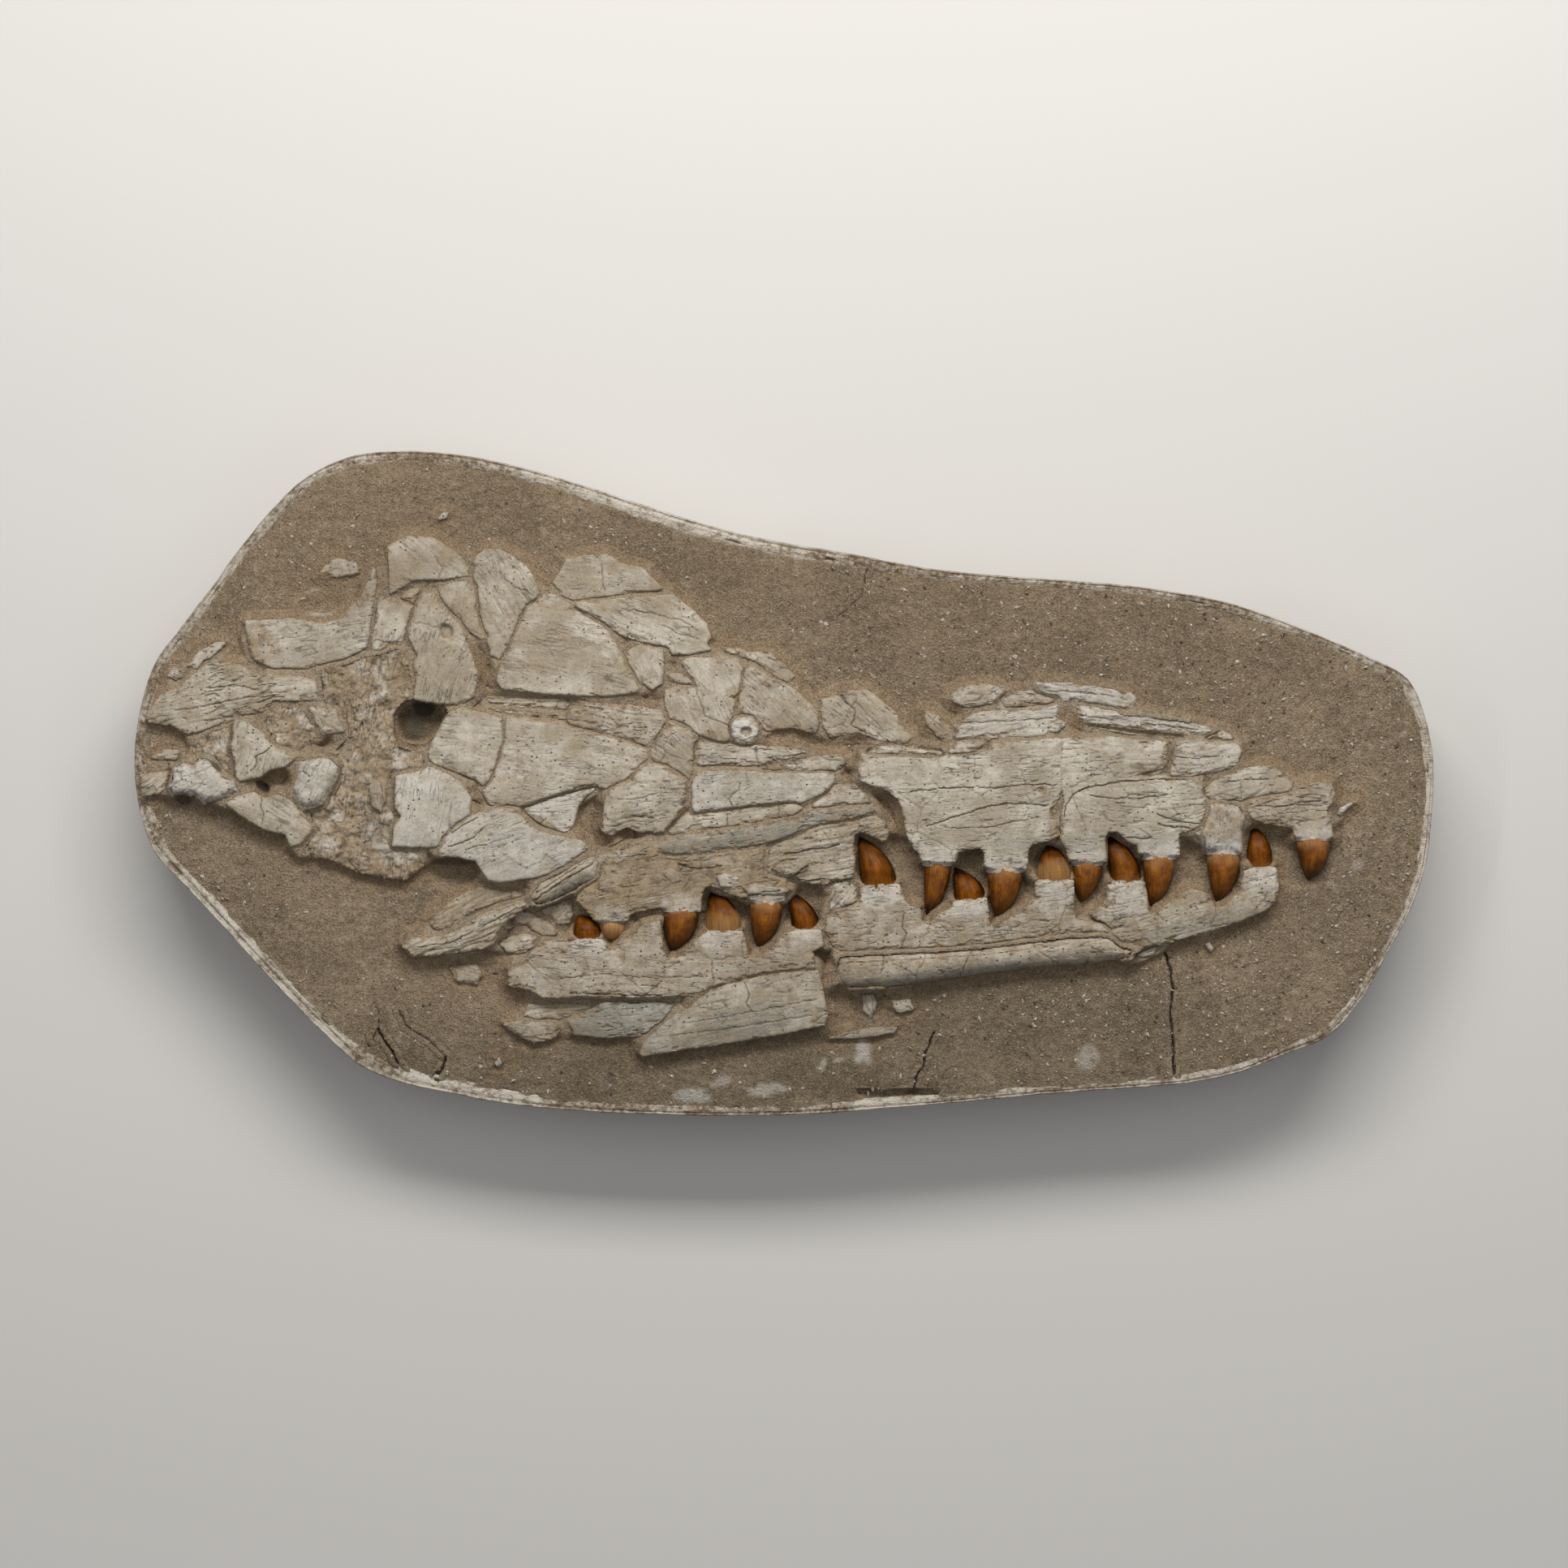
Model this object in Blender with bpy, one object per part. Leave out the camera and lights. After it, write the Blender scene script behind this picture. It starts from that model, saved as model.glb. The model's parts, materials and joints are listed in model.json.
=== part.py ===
"""A mosasaur skull preserved in relief on a slab of chalky rock, held in a trimmed plaster jacket.

The slab lies flat with the fossil facing up. +X points to the snout, +Y to the far
long edge of the slab, +Z up. The origin is the middle of the slab's underside.
Outlines are in millimetres, seen from above, going round each bone once.
"""
import math
from dataclasses import dataclass

import bmesh
import bpy
import numpy as np

MM = 0.001

# Slab, from the floor up
SURFACE = 46.0
JACKET_FLOOR = 8.0
RIM_TOP = 45.4
GAP = 0.32
SLAB_POINTS = 66
# Height and inset of the jacket's side, from its foot to its widest line
JACKET_SIDE = [(0.0, 15.0), (5.0, 8.0), (14.0, 2.6), (26.0, 0.0), (40.0, 0.3)]
RIM_INSET = 1.3
CAVITY_FOOT_INSET = 7.5
BLOCK_EDGE_ROUND = 1.6

# Thickness of the plaster rim, by compass angle seen from above (degrees from +X)
RIM_THICKNESS = [
    (0, 2.2), (55, 2.2), (80, 5.0), (118, 5.2), (128, 3.0), (165, 3.0),
    (185, 4.6), (222, 5.6), (236, 3.2), (262, 2.6), (282, 4.2), (296, 2.4), (360, 2.2),
]

# Bones
EMBED = 5.0
EDGE_BEVEL = 1.1
CROWN_INSET = 2.4
CROWN_INSET_STEP = 0.8

# The rock is cut back between the jaws, so that the teeth stand clear
MOUTH_DEPTH = 3.0
MOUTH_TOP = [
    (-106, -60), (-92, -58), (-60, -52), (-36, -46), (-18, -49), (22, -47), (36, -22),
    (50, -26), (66, -28), (90, -27), (124, -24), (158, -19), (186, -28), (206, -27), (230, -17),
    (254, -23), (271, -24),
]
MOUTH_BOTTOM = [
    (264, -52), (240, -48), (226, -61), (198, -65), (176, -66), (144, -69), (100, -72), (66, -70),
    (22, -74), (12, -86), (-20, -88), (-56, -89), (-88, -82), (-106, -80),
]

# The opening in the middle of the skull roof, cut deep into the rock
FORAMEN_DEPTH = 17.0
FORAMEN = [
    (-191, 34), (-186.8, 38.4), (-181.4, 39.6), (-173.7, 39.6), (-168.6, 36.8), (-167.4, 33.2),
    (-170.2, 28.0), (-173.4, 23.4), (-176.6, 20.6), (-183, 19.8), (-188.4, 21.7), (-191, 26.3),
]
CHEEK_HOLLOW_DEPTH = 5.0
CHEEK_HOLLOW = [
    (-177, -38.5), (-166, -37.5), (-154, -39), (-149.5, -46), (-154, -51), (-166, -52), (-175, -46),
]

# Slab outline, seen from above
SLAB = [
    (-206, 164), (-162, 163.6), (-114, 153), (-66, 137.6), (-18, 123.6), (30, 115), (78, 106.4),
    (126, 102.4), (174, 98.4), (214, 91.6), (246, 81.6), (294, 61), (311, 50), (318, 32),
    (321.6, 2.4), (316.4, -45.6), (303, -76), (278, -117.6), (256, -130.5), (210, -147),
    (134, -153.6), (66, -160), (0, -164.4), (-66, -164), (-130, -159.6), (-186, -149),
    (-208, -141), (-242, -109.6), (-290, -57.6), (-313, -31), (-321.6, 10), (-313, 56.4),
    (-290, 88.4), (-262, 126.4), (-234, 154),
]

# Tooth shape: cross-section points, rings along the crown and how deep the root sits in the jaw
TOOTH_ARC_DEGREES = [-34, 2, 46, 90, 134, 178, 214]
TOOTH_STATIONS = [0.0, 0.22, 0.45, 0.67, 0.86]
TOOTH_BELLY = 0.55
TOOTH_HEIGHT_TO_WIDTH = 0.42
ROOT_LENGTH = 6.0
ROOT_TAPER = 0.74


@dataclass
class Tooth:
    """A crown lying in the plane of the slab: base centre, width at the base and tip."""
    base: tuple
    width: float
    tip: tuple


@dataclass
class Bone:
    """One bone or fragment: its outline, height above the rock, doming, lean and teeth."""
    name: str
    outline: list
    relief: float
    crown: float = 0.6
    lean: tuple = (0.0, 0.0)
    tone: str = "bone"
    teeth: tuple = ()


BONES = [
    # Back of the skull: quadrate, palate and braincase
    Bone("squamosal_plate", [
        (-265, 80), (-242, 81), (-227, 78.5), (-220, 80.5), (-210, 89), (-203.5, 101), (-201.5, 107),
        (-200.8, 99), (-203, 86), (-205.5, 67.5), (-214, 63), (-234, 57.5), (-252, 57.5),
        (-260.5, 61.5), (-264, 72),
    ], 3.6, 0.8, (0.03, -0.03)),
    Bone("quadrate_fan", [
        (-313.6, 33.2), (-306.7, 42.7), (-296.8, 47.3), (-289, 54), (-285, 60.5), (-268.4, 58), (-259.3, 53),
        (-238, 52.6), (-230.5, 49.5), (-230, 42.5), (-239, 41.5), (-252, 42), (-254, 36.5), (-265, 35),
        (-279, 29), (-293, 25.3), (-301, 29.5), (-312.5, 31),
    ], 4.8, 1.0, (0.03, 0.0)),
    Bone("quadrate_knob", [
        (-299, 8), (-295, 10), (-290, 9.5), (-287, 13), (-282, 12), (-278, 5.5), (-269.5, 0.5), (-268, -4),
        (-279, -7.8), (-285, -9.5), (-290, -5), (-299.5, -5.3), (-302, -1),
    ], 7.5, 2.0),
    Bone("quadrate_core", [
        (-289, 19), (-283, 24.5), (-279, 27), (-273.5, 27.8), (-272, 24), (-273.5, 18), (-271.5, 11),
        (-271.2, 4), (-274.5, 5.5), (-278.5, 11), (-283, 15), (-289.5, 16),
    ], 5.2, 0.8, tone="tan"),
    Bone("pterygoid_wedge", [
        (-269, 31), (-264.5, 30), (-256, 24), (-250.5, 17.5), (-240.5, 13.2), (-245, 9.2), (-253, 7.5),
        (-258, 4), (-263, 3), (-267.5, 2), (-269.3, 4.5), (-269.3, 11), (-271.5, 18), (-270, 25),
    ], 8.0, 1.2, (0.02, 0.03)),
    Bone("otic_plate_lower", [
        (-273, -9.8), (-269, -6.8), (-260.8, -5), (-255, -8), (-248.5, -6), (-241.5, -9), (-239.8, -12.8),
        (-232.5, -20.8), (-233, -24), (-238, -28.5), (-242, -30), (-244.3, -24), (-255.4, -21.6),
        (-266.9, -14.7),
    ], 7.2, 1.2, (0.0, 0.04)),
    Bone("otic_boss", [
        (-237.5, 11), (-228, 12.7), (-222, 12), (-219, 8), (-220.5, 2), (-223.5, -4), (-228, -9.5),
        (-234, -11.3), (-238.8, -8.5), (-240.8, -2.4), (-238.6, 5.2),
    ], 8.2, 2.2),
    Bone("otic_plate_upper", [
        (-254, 34), (-248, 37.5), (-240, 36), (-233, 33), (-231, 28), (-233, 21.5), (-239, 17),
        (-245, 18.5), (-249.5, 20.5), (-254, 26),
    ], 5.6, 0.8, (0.02, 0.0), "tan"),
    Bone("braincase_block", [
        (-205, 62), (-190, 66), (-187, 62), (-184.5, 57), (-183.2, 50), (-184.5, 43.5), (-189.5, 41),
        (-193.5, 35), (-193.8, 25), (-190.5, 18), (-183, 15.5), (-177, 14), (-178, 8.5), (-187, 7),
        (-193, 4.5), (-193.5, -12), (-190.4, -16.8), (-193.5, -21), (-194, -32), (-182, -33.5), (-178.5, -40),
        (-183, -43), (-187, -46), (-200, -44), (-212, -41.5), (-224, -35.5), (-236, -34.5), (-234, -28),
        (-229.5, -22), (-234, -15.5), (-226, -12), (-221, -4), (-217, 4), (-216, 10), (-222, 14.5),
        (-214, 22), (-214, 30), (-218, 38), (-226, 39.5), (-227, 46), (-228, 55), (-216, 58),
    ], 5.4, 0.0, tone="tan"),

    # Skull roof, the side beyond the midline
    Bone("supratemporal_outer", [
        (-195, 117), (-186, 122), (-173, 121.5), (-160, 113), (-155, 107), (-155.5, 102.5), (-167, 100.8),
        (-182, 100.3), (-190, 95.5), (-194, 93.5), (-194.5, 105),
    ], 3.2, 0.6, (0.0, -0.02)),
    Bone("supratemporal_inner", [
        (-168.5, 95), (-165, 98.5), (-155.5, 99), (-152.3, 96), (-151.4, 84), (-149.8, 77), (-147.5, 72.5),
        (-153, 76), (-158, 82), (-163, 85.5), (-166.5, 89.5),
    ], 3.6, 0.6, (0.02, 0.0)),
    Bone("parietal_far", [
        (-179, 92.5), (-172, 91.5), (-166, 84), (-160, 76), (-157, 66.5), (-152.5, 55), (-153.5, 44),
        (-160, 40.8), (-176, 42), (-181.4, 43.5), (-180, 50.4), (-181.4, 57.3), (-178.3, 63.4),
        (-185, 76.4), (-181.4, 88.7),
    ], 5.0, 1.2, (0.02, 0.0)),
    Bone("postfrontal_far", [
        (-147, 114), (-140, 114), (-129.5, 108), (-122.7, 99.5), (-122, 92), (-128.3, 88), (-132, 79.5),
        (-137, 68), (-140, 62.5), (-143, 64), (-145, 71), (-148, 78.5), (-149.5, 85), (-150.3, 98),
        (-152, 104), (-151.5, 110),
    ], 3.6, 0.6, (0.02, 0.02)),
    Bone("frontal_far", [
        (-118.5, 91.5), (-112, 92), (-104.9, 86), (-95, 79.5), (-87, 73.5), (-80.5, 61.5), (-74, 50.5),
        (-73, 46.8), (-84.4, 44.8), (-112.5, 45.2), (-138, 48.2), (-140, 51), (-137.5, 60), (-134, 66.5),
        (-129, 79.5), (-124.8, 87),
    ], 4.4, 0.7, (0.01, -0.02)),
    Bone("prefrontal_far_outer", [
        (-113, 99.5), (-109.5, 104), (-107, 109.5), (-98, 111.5), (-87.5, 112.3), (-80, 107.8), (-70, 105.5),
        (-61, 96.3), (-71.4, 95.5), (-86.7, 93.3), (-104, 91.3), (-109.5, 93.8),
    ], 3.0, 0.5, (0.0, 0.02)),
    Bone("prefrontal_far_inner", [
        (-102, 88.2), (-83, 90.2), (-62, 92), (-55, 92.3), (-46, 85.5), (-38.5, 78), (-36.8, 72),
        (-39.5, 69), (-37, 66.5), (-47, 64.7), (-54.5, 64.6), (-56, 68), (-70, 70.8), (-80, 74.1),
        (-90, 81.5),
    ], 3.6, 0.6, (-0.02, 0.0)),
    Bone("frontal_far_front", [
        (-77, 64.5), (-73.5, 66.6), (-70.5, 67.6), (-60.5, 65.5), (-59.4, 57), (-60.7, 49.8), (-65, 47.2),
        (-70, 50), (-75.5, 59.6),
    ], 3.8, 0.6, (0.0, 0.03)),
    Bone("nasal_block", [
        (-49, 59.5), (-46, 61), (-35, 60.7), (-31, 62), (-24, 61), (-21.7, 56), (-22.5, 46), (-27.8, 42.7),
        (-24.9, 40), (-26, 34), (-28.5, 29), (-27, 23), (-30, 21.6), (-41, 25.3), (-49, 30.4), (-55.5, 33),
        (-57.5, 40), (-57.3, 45.8), (-48.4, 48), (-43.5, 47.5), (-43, 52), (-46.5, 56),
    ], 4.4, 0.5, (0.02, -0.02)),
    Bone("lacrimal_plate", [
        (-19, 54), (-15, 58), (-5.5, 51), (5, 45), (13, 38), (16, 33), (15.2, 26.5), (3.6, 28.8),
        (-9, 27.6), (-14.5, 34.8), (-22.5, 34.8), (-22, 38.5), (-20.5, 44),
    ], 4.0, 0.7, (0.0, 0.03)),
    Bone("lacrimal_strip", [
        (-29, 66), (-21.5, 65.8), (-17, 64), (-8, 64.5), (-1, 58.8), (4.4, 53), (2, 50.8), (-5.5, 54.3),
        (-10, 57), (-14, 60.8), (-19, 62.8), (-25, 64),
    ], 2.4, 0.3),
    Bone("ring_boss", [
        (-19.5 + 6.3 * math.cos(math.radians(a)), 26.5 + 6.3 * math.sin(math.radians(a)))
        for a in range(0, -360, -30)
    ], 6.4, 1.2, tone="pale"),
    Bone("nasal_strip_outer", [
        (-42.3, 18.8), (-40, 19.4), (-18, 18), (0, 17), (10, 15.2), (5, 13.6), (-13, 10.4),
        (-41.6, 10.4), (-42.6, 13),
    ], 4.4, 0.5),
    Bone("nasal_strip_inner", [
        (-10, 7.9), (5, 10.8), (18, 12.3), (27.5, 13.3), (29, 11), (25, 8), (8, 7.2), (-2.5, 7.2),
    ], 4.0, 0.3),
    Bone("frontal_tip", [
        (-64.5, 16), (-61.5, 21.5), (-58.3, 26), (-56, 29), (-52, 29), (-48, 27.5), (-45.3, 22), (-44.6, 19),
        (-45.5, 12.5), (-47, 9.5), (-45.5, 5), (-46, 3.5), (-53, 7.6), (-57.6, 9.8), (-63.5, 11.3),
    ], 5.4, 0.8, (0.03, 0.03)),

    # Skull roof along the midline and the near side
    Bone("frontal_midline", [
        (-105.5, 38.5), (-90.5, 38.2), (-70, 36.3), (-61.5, 34.5), (-58.5, 31.5), (-61.5, 27), (-64, 23),
        (-66, 19.2), (-70, 20.3), (-76, 22.3), (-95, 27), (-105, 29.8),
    ], 4.4, 0.5),
    Bone("frontal_near_rear", [
        (-164.5, 33.5), (-158.4, 36.5), (-145.4, 33), (-139.4, 31), (-139, 21.7), (-142, 10.3), (-145.5, 2),
        (-148, 0.5), (-151, 3.3), (-162.3, 7.5), (-171, 10.8), (-174.3, 14), (-171.8, 20.5), (-168, 27.5),
    ], 5.2, 0.9, (0.0, 0.02)),
    Bone("frontal_near_front", [
        (-136, 31), (-125.5, 30), (-108.7, 28.4), (-98.8, 25.6), (-86.7, 22.5), (-79, 20.4), (-71.4, 17.6),
        (-68.5, 15), (-68.5, 12.5), (-74.8, 5.5), (-79, 2.3), (-86.7, -0.3), (-92, 0.5), (-112.5, -4.7),
        (-124, -8.9), (-137, -9.6), (-141.5, -10.3), (-144.3, -8), (-146, -3.5), (-143, 1.5), (-140, 10.5),
        (-137, 20),
    ], 5.4, 0.9, (0.0, 0.01)),
    Bone("postfrontal_near", [
        (-127, -12.8), (-123.5, -11), (-112.5, -6.8), (-100, -3.8), (-94, -2.4), (-97.5, -5), (-102, -10.4),
        (-103.8, -17.3), (-105, -21), (-108, -23), (-116.4, -20.3), (-121, -18),
    ], 3.4, 0.4, tone="tan"),
    Bone("parietal_near", [
        (-190, 3.4), (-180, 5.2), (-173.5, 7.6), (-164.6, 3.4), (-157, -1.5), (-154.6, -8), (-155.2, -15),
        (-162.5, -19.6), (-168, -25.7), (-170.5, -30), (-181.5, -30.3), (-192, -30.3), (-191, -20),
        (-187, -16), (-190.2, -11.5), (-190.4, -5),
    ], 7.6, 1.4, (0.01, 0.02)),
    Bone("postorbital_near", [
        (-165, -25.2), (-160, -20.8), (-155, -17.6), (-150, -15.2), (-145, -14.8), (-142, -12.8),
        (-135.5, -12.4), (-131.7, -14), (-127.1, -19.3), (-120, -24.6), (-105, -27.8), (-100.3, -28.4),
        (-97.5, -31), (-106.5, -38.7), (-112.5, -42), (-120, -44.7), (-129.4, -46.2), (-139.3, -47.5),
        (-144.7, -46.7), (-151, -37.2), (-160, -35), (-169, -34.5), (-167.6, -30.3),
    ], 8.0, 1.6, (0.01, 0.03)),
    Bone("prefrontal_near", [
        (-87, -9), (-84, -3.5), (-79.5, -0.6), (-75.6, 1), (-73, 4.9), (-70, 8), (-66.8, 9.6), (-62.2, 9),
        (-57.6, 7.6), (-53, 4.5), (-49.7, 1), (-50, -6), (-51.3, -12), (-54.5, -17), (-59.5, -22.4),
        (-70, -22.4), (-77.5, -20), (-81.5, -21.5), (-84.8, -24), (-88.2, -22), (-87, -14),
    ], 7.4, 1.2, (0.0, 0.03)),

    # Cheek: struts and splints below the skull roof
    Bone("jugal_strut", [
        (-125, -56), (-119.5, -48.8), (-112.5, -44.6), (-105, -40.8), (-97.5, -37), (-93, -35.3),
        (-91.3, -39), (-92.1, -45.6), (-102, -51.5), (-114, -57.4), (-121, -59.4),
    ], 8.2, 1.6),
    Bone("jugal_splint", [
        (-187, -80), (-184, -76.3), (-169, -75.6), (-160, -71.4), (-152, -66.4), (-144.7, -62.7),
        (-135.5, -58.9), (-128.5, -57.5), (-126.5, -60), (-132, -63.5), (-137, -67), (-141.5, -72.5),
        (-143.5, -78), (-147, -80.3), (-165, -83), (-182, -84.2),
    ], 7.4, 1.6),
    Bone("jugal_plate", [
        (-173.5, -68), (-165, -59.8), (-158.5, -56), (-148.5, -50.8), (-144.7, -52.6), (-130, -54.8),
        (-135.5, -56.5), (-144.7, -60.3), (-152.5, -64.2), (-160.5, -69), (-168, -71.3), (-171.5, -70.3),
    ], 2.6, 0.4, tone="tan"),

    # Near lower jaw
    Bone("dentary_rear", [
        (-125, -86), (-123.5, -83), (-118, -78.5), (-110, -77.2), (-90, -77.2), (-86, -80.8), (-83, -80.8),
        (-79, -77), (-74, -75.5), (-68, -69.5), (-61.5, -68), (-60.8, -78), (-58.5, -86.5), (-52, -86.5),
        (-46.5, -81), (-41, -76), (-38, -73), (-21, -73), (-19.3, -80), (-18, -85), (-10.5, -85), (-4, -80),
        (0.5, -74.5), (4, -72.5), (17.5, -72.5), (18.5, -79), (13.5, -82), (14.5, -90), (1, -90.8),
        (-12, -92.6), (-25, -96), (-37, -99.5), (-42, -103), (-65, -104), (-102, -103.6), (-113, -104.8),
        (-118.5, -104.2), (-124, -100.5), (-134.5, -98.5), (-135, -92), (-129.5, -89.5),
    ], 7.2, 0.6, (0.0, 0.02), "bone", (
        Tooth((-97.0, -76.6), 13.4, (-101.0, -63.6)),
        Tooth((-29.6, -72.4), 16.6, (-35.6, -52.6)),
        Tooth((10.9, -71.8), 13.2, (3.6, -52.2)),
    )),
    Bone("splenial_rear", [
        (-38.5, -104.8), (-36, -101.8), (-25, -98.2), (-12, -94.9), (1, -93), (15.5, -92.2), (18, -101),
        (20.3, -113.5), (19, -117.5), (-0.2, -121.6), (-25.5, -125.8), (-48.4, -129.2), (-70, -132.6),
        (-68, -128), (-59, -119.5), (-51.5, -113.7), (-45, -110.5), (-41.5, -107),
    ], 6.2, 1.0, (0.01, 0.02)),
    Bone("angular_plate", [
        (-105.5, -116.5), (-98, -114), (-90.5, -108.4), (-79, -107.6), (-59, -108.4), (-55, -109.3),
        (-60, -115.5), (-68, -121.4), (-72, -123.4), (-88, -124.5), (-103, -122.5),
    ], 3.6, 0.8, tone="blue"),
    Bone("angular_tip", [
        (-137.5, -118.5), (-129.4, -117.3), (-115.6, -117.4), (-111, -120), (-112.5, -124), (-123.2, -127),
        (-131, -122.7),
    ], 3.0, 0.5),
    Bone("dentary_mid", [
        (22, -66), (25, -62), (31, -60.5), (37, -58.5), (38, -51), (56, -50), (59, -58), (62, -61),
        (66.3, -62), (67, -68), (72.5, -69), (77, -64.5), (83.4, -61.5), (84, -58.6), (99, -56.6),
        (99.4, -62), (100.2, -69.6), (107.5, -70), (113, -65), (119, -61), (124, -56), (124.5, -48),
        (141.5, -48), (141.4, -62), (142.5, -66.8), (149, -68.6), (156, -70), (158.5, -72.8), (156, -73),
        (140, -73.6), (120, -76), (100, -78.6), (80, -80.3), (60, -81.3), (45, -82), (30, -82.5),
        (25, -79), (21, -72),
    ], 7.4, 0.6, (0.0, 0.02), "bone", (
        Tooth((46.6, -50.4), 17.2, (37.4, -26.2)),
        Tooth((91.3, -57.6), 15.2, (84.3, -41.6)),
        Tooth((133.2, -47.6), 16.0, (130.4, -30.0)),
    )),
    Bone("splenial_bar", [
        (27, -86), (30, -82.9), (45, -82.4), (60, -81.7), (80, -80.7), (100, -79), (120, -76.4), (140, -74),
        (156, -73.4), (160, -76), (165, -79.3), (171, -81), (174.5, -82), (170, -85.5), (150, -87),
        (118, -90), (100, -92), (80, -95), (60, -98), (45, -99.7), (33, -99.8), (27, -98), (25.5, -92),
    ], 9.4, 1.6, (0.0, 0.02)),
    Bone("dentary_front", [
        (152.5, -64.5), (157, -61), (160, -57), (160.8, -49), (176, -49), (177.2, -54), (177.3, -60.5),
        (178, -64.6), (183.6, -64.2), (190, -59.5), (197, -55.5), (201, -52.8), (206, -54.2), (209.2, -58),
        (211, -62), (216.5, -62), (221, -57.5), (225.5, -53.5), (227.8, -42), (240.3, -42), (241.8, -50),
        (240.5, -57), (236, -61), (225, -65.8), (205, -72.3), (190, -76.3), (180, -78.3), (172, -78.8),
        (166, -77), (162.5, -73), (159.5, -68.7), (155.5, -66),
    ], 6.6, 0.8, (0.0, 0.03), "bone", (
        Tooth((168.4, -48.6), 15.0, (159.8, -25.6)),
        Tooth((234.0, -41.6), 12.2, (230.8, -21.6)),
    )),

    # Near side of the snout
    Bone("nasal_near", [
        (-44, 1.5), (-42.3, 4.4), (-39.3, 5.3), (-25.5, 5.6), (-10, 5.2), (7.4, 4.6), (18, 4.6), (24, 4),
        (24, 2), (21, -2.5), (15, -5.5), (9, -8.2), (1.3, -8.3), (-10, -9.2), (-25.5, -11), (-33, -12.4),
        (-43.7, -13.2), (-44.5, -9),
    ], 6.0, 0.8, (0.0, 0.02), "pale"),
    Bone("nasal_scale", [
        (15, -10.6), (20, -7.6), (22.5, -5), (25.5, -1.8), (30, -0.8), (35.3, -2.1), (40.6, -6.8),
        (41, -8.8), (30, -9.8),
    ], 5.0, 0.6, tone="pale"),
    Bone("maxilla_strip", [
        (-56, -22.8), (-53, -19), (-48.6, -16.2), (-33, -14.4), (-11.7, -11.5), (5, -10.2), (7, -12),
        (5, -14.6), (-10, -17.2), (-25.5, -19.9), (-41, -21.9), (-55, -24),
    ], 5.0, 0.5),
    Bone("palatine_rod", [
        (-61, -31), (-56, -27.6), (-41, -24.5), (-17.8, -21.3), (-6.4, -19.3), (5, -16.8), (18, -13.5),
        (30, -12), (41, -12), (43, -13), (40, -15), (30, -16.8), (18, -18.8), (9, -21.5), (3, -24.6),
        (-6.4, -27.6), (-17.8, -30.3), (-41, -33.3), (-52, -34.2), (-59, -33.8),
    ], 7.0, 1.6, tone="blue"),
    Bone("maxilla_rear", [
        (-88, -40), (-86, -35.5), (-79, -31.8), (-70, -31), (-63, -33.5), (-58.5, -36), (-41, -35.6),
        (-29, -34.2), (-18, -32.6), (-10.5, -31.5), (-10, -36), (-11.5, -42), (-10, -46), (0, -47.5),
        (0.2, -50.5), (-0.9, -57.4), (-16.8, -57.4), (-18.5, -55), (-21.5, -55), (-26, -53.5), (-31, -50.8),
        (-36, -49.2), (-39.8, -51), (-41.4, -56), (-41.7, -62), (-59.5, -62), (-62, -60), (-76, -63),
        (-78, -67.6), (-91.5, -67.6), (-97, -61), (-101, -57), (-98, -52), (-91, -48.2), (-89, -43.5),
    ], 6.8, 0.5, (0.0, 0.01), "tan", (
        Tooth((-84.6, -67.9), 12.6, (-84.7, -78.6)),
        Tooth((-50.6, -62.4), 16.6, (-55.6, -83.4)),
        Tooth((-8.9, -57.8), 15.2, (-13.2, -81.6)),
    )),
    Bone("maxilla_fibrous", [
        (-8, -31), (4.5, -26.8), (12, -23), (22, -20.2), (35, -18), (45, -16), (48.5, -19), (50.5, -24),
        (49, -27.4), (43, -24), (37, -22), (33.6, -24.5), (33, -31), (34, -37), (33, -45), (25, -47.5),
        (14, -48), (6, -45.2), (-2, -45), (-7.5, -43.5), (-8, -36),
    ], 6.2, 0.5, (0.0, 0.01)),
    Bone("maxilla_mid", [
        (40, 13.5), (62, 13.3), (75, 12.6), (82, 12.8), (92, 14.5), (101, 17), (112, 19), (125, 20),
        (134.9, 20.2), (134.9, 1), (134, -3), (132.5, -8.5), (129.5, -10.5), (129.5, -16), (132, -20),
        (133.6, -24), (129, -25.8), (121, -27.5), (118, -31), (117.3, -41.4), (100.4, -41.4), (100.5, -33),
        (97, -29), (90, -30), (84, -32), (82.3, -38.2), (69.3, -38.2), (68.3, -33), (65, -30), (62.5, -25),
        (61, -18), (60, -11), (57.5, -6), (52, -1.5), (44, 1.2), (39.5, 3), (38.3, 8),
    ], 7.8, 0.8, (0.0, 0.01), "bone", (
        Tooth((75.6, -38.6), 12.4, (71.2, -65.4)),
        Tooth((108.9, -41.8), 16.4, (105.0, -66.8)),
    )),
    Bone("maxilla_front", [
        (135.3, 20.2), (150, 20.8), (166, 21.3), (180, 20.3), (186, 20), (185.5, 9.5), (176, 7.5), (165, 3.2),
        (170, 1.8), (188, 2.5), (196, 1.8), (200, 0), (204, -3), (206, -8), (206.3, -14), (203.5, -19),
        (202, -21.5), (192.8, -22), (191.6, -27), (192.3, -35), (177, -35), (175, -28.5), (170, -26.5),
        (167.5, -23.6), (164, -21.4), (157.6, -21.4), (155.4, -27), (156.6, -38), (142, -38), (140.6, -31),
        (138.5, -28), (137, -24), (138, -16), (140, -9), (139, -5.5), (136.6, -2), (135.3, 1),
    ], 7.6, 0.8, (0.0, 0.01), "bone", (
        Tooth((149.4, -38.3), 14.4, (146.4, -58.6)),
        Tooth((184.7, -35.3), 15.0, (181.2, -61.4)),
    )),
    Bone("snout_plate", [
        (190.8, 4.2), (191.5, 12), (194, 20.3), (204, 21), (218, 20.5), (222.5, 18.5), (224.5, 15.5),
        (222, 10.5), (216, 7.5), (203, 5.2), (196, 4.6),
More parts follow.
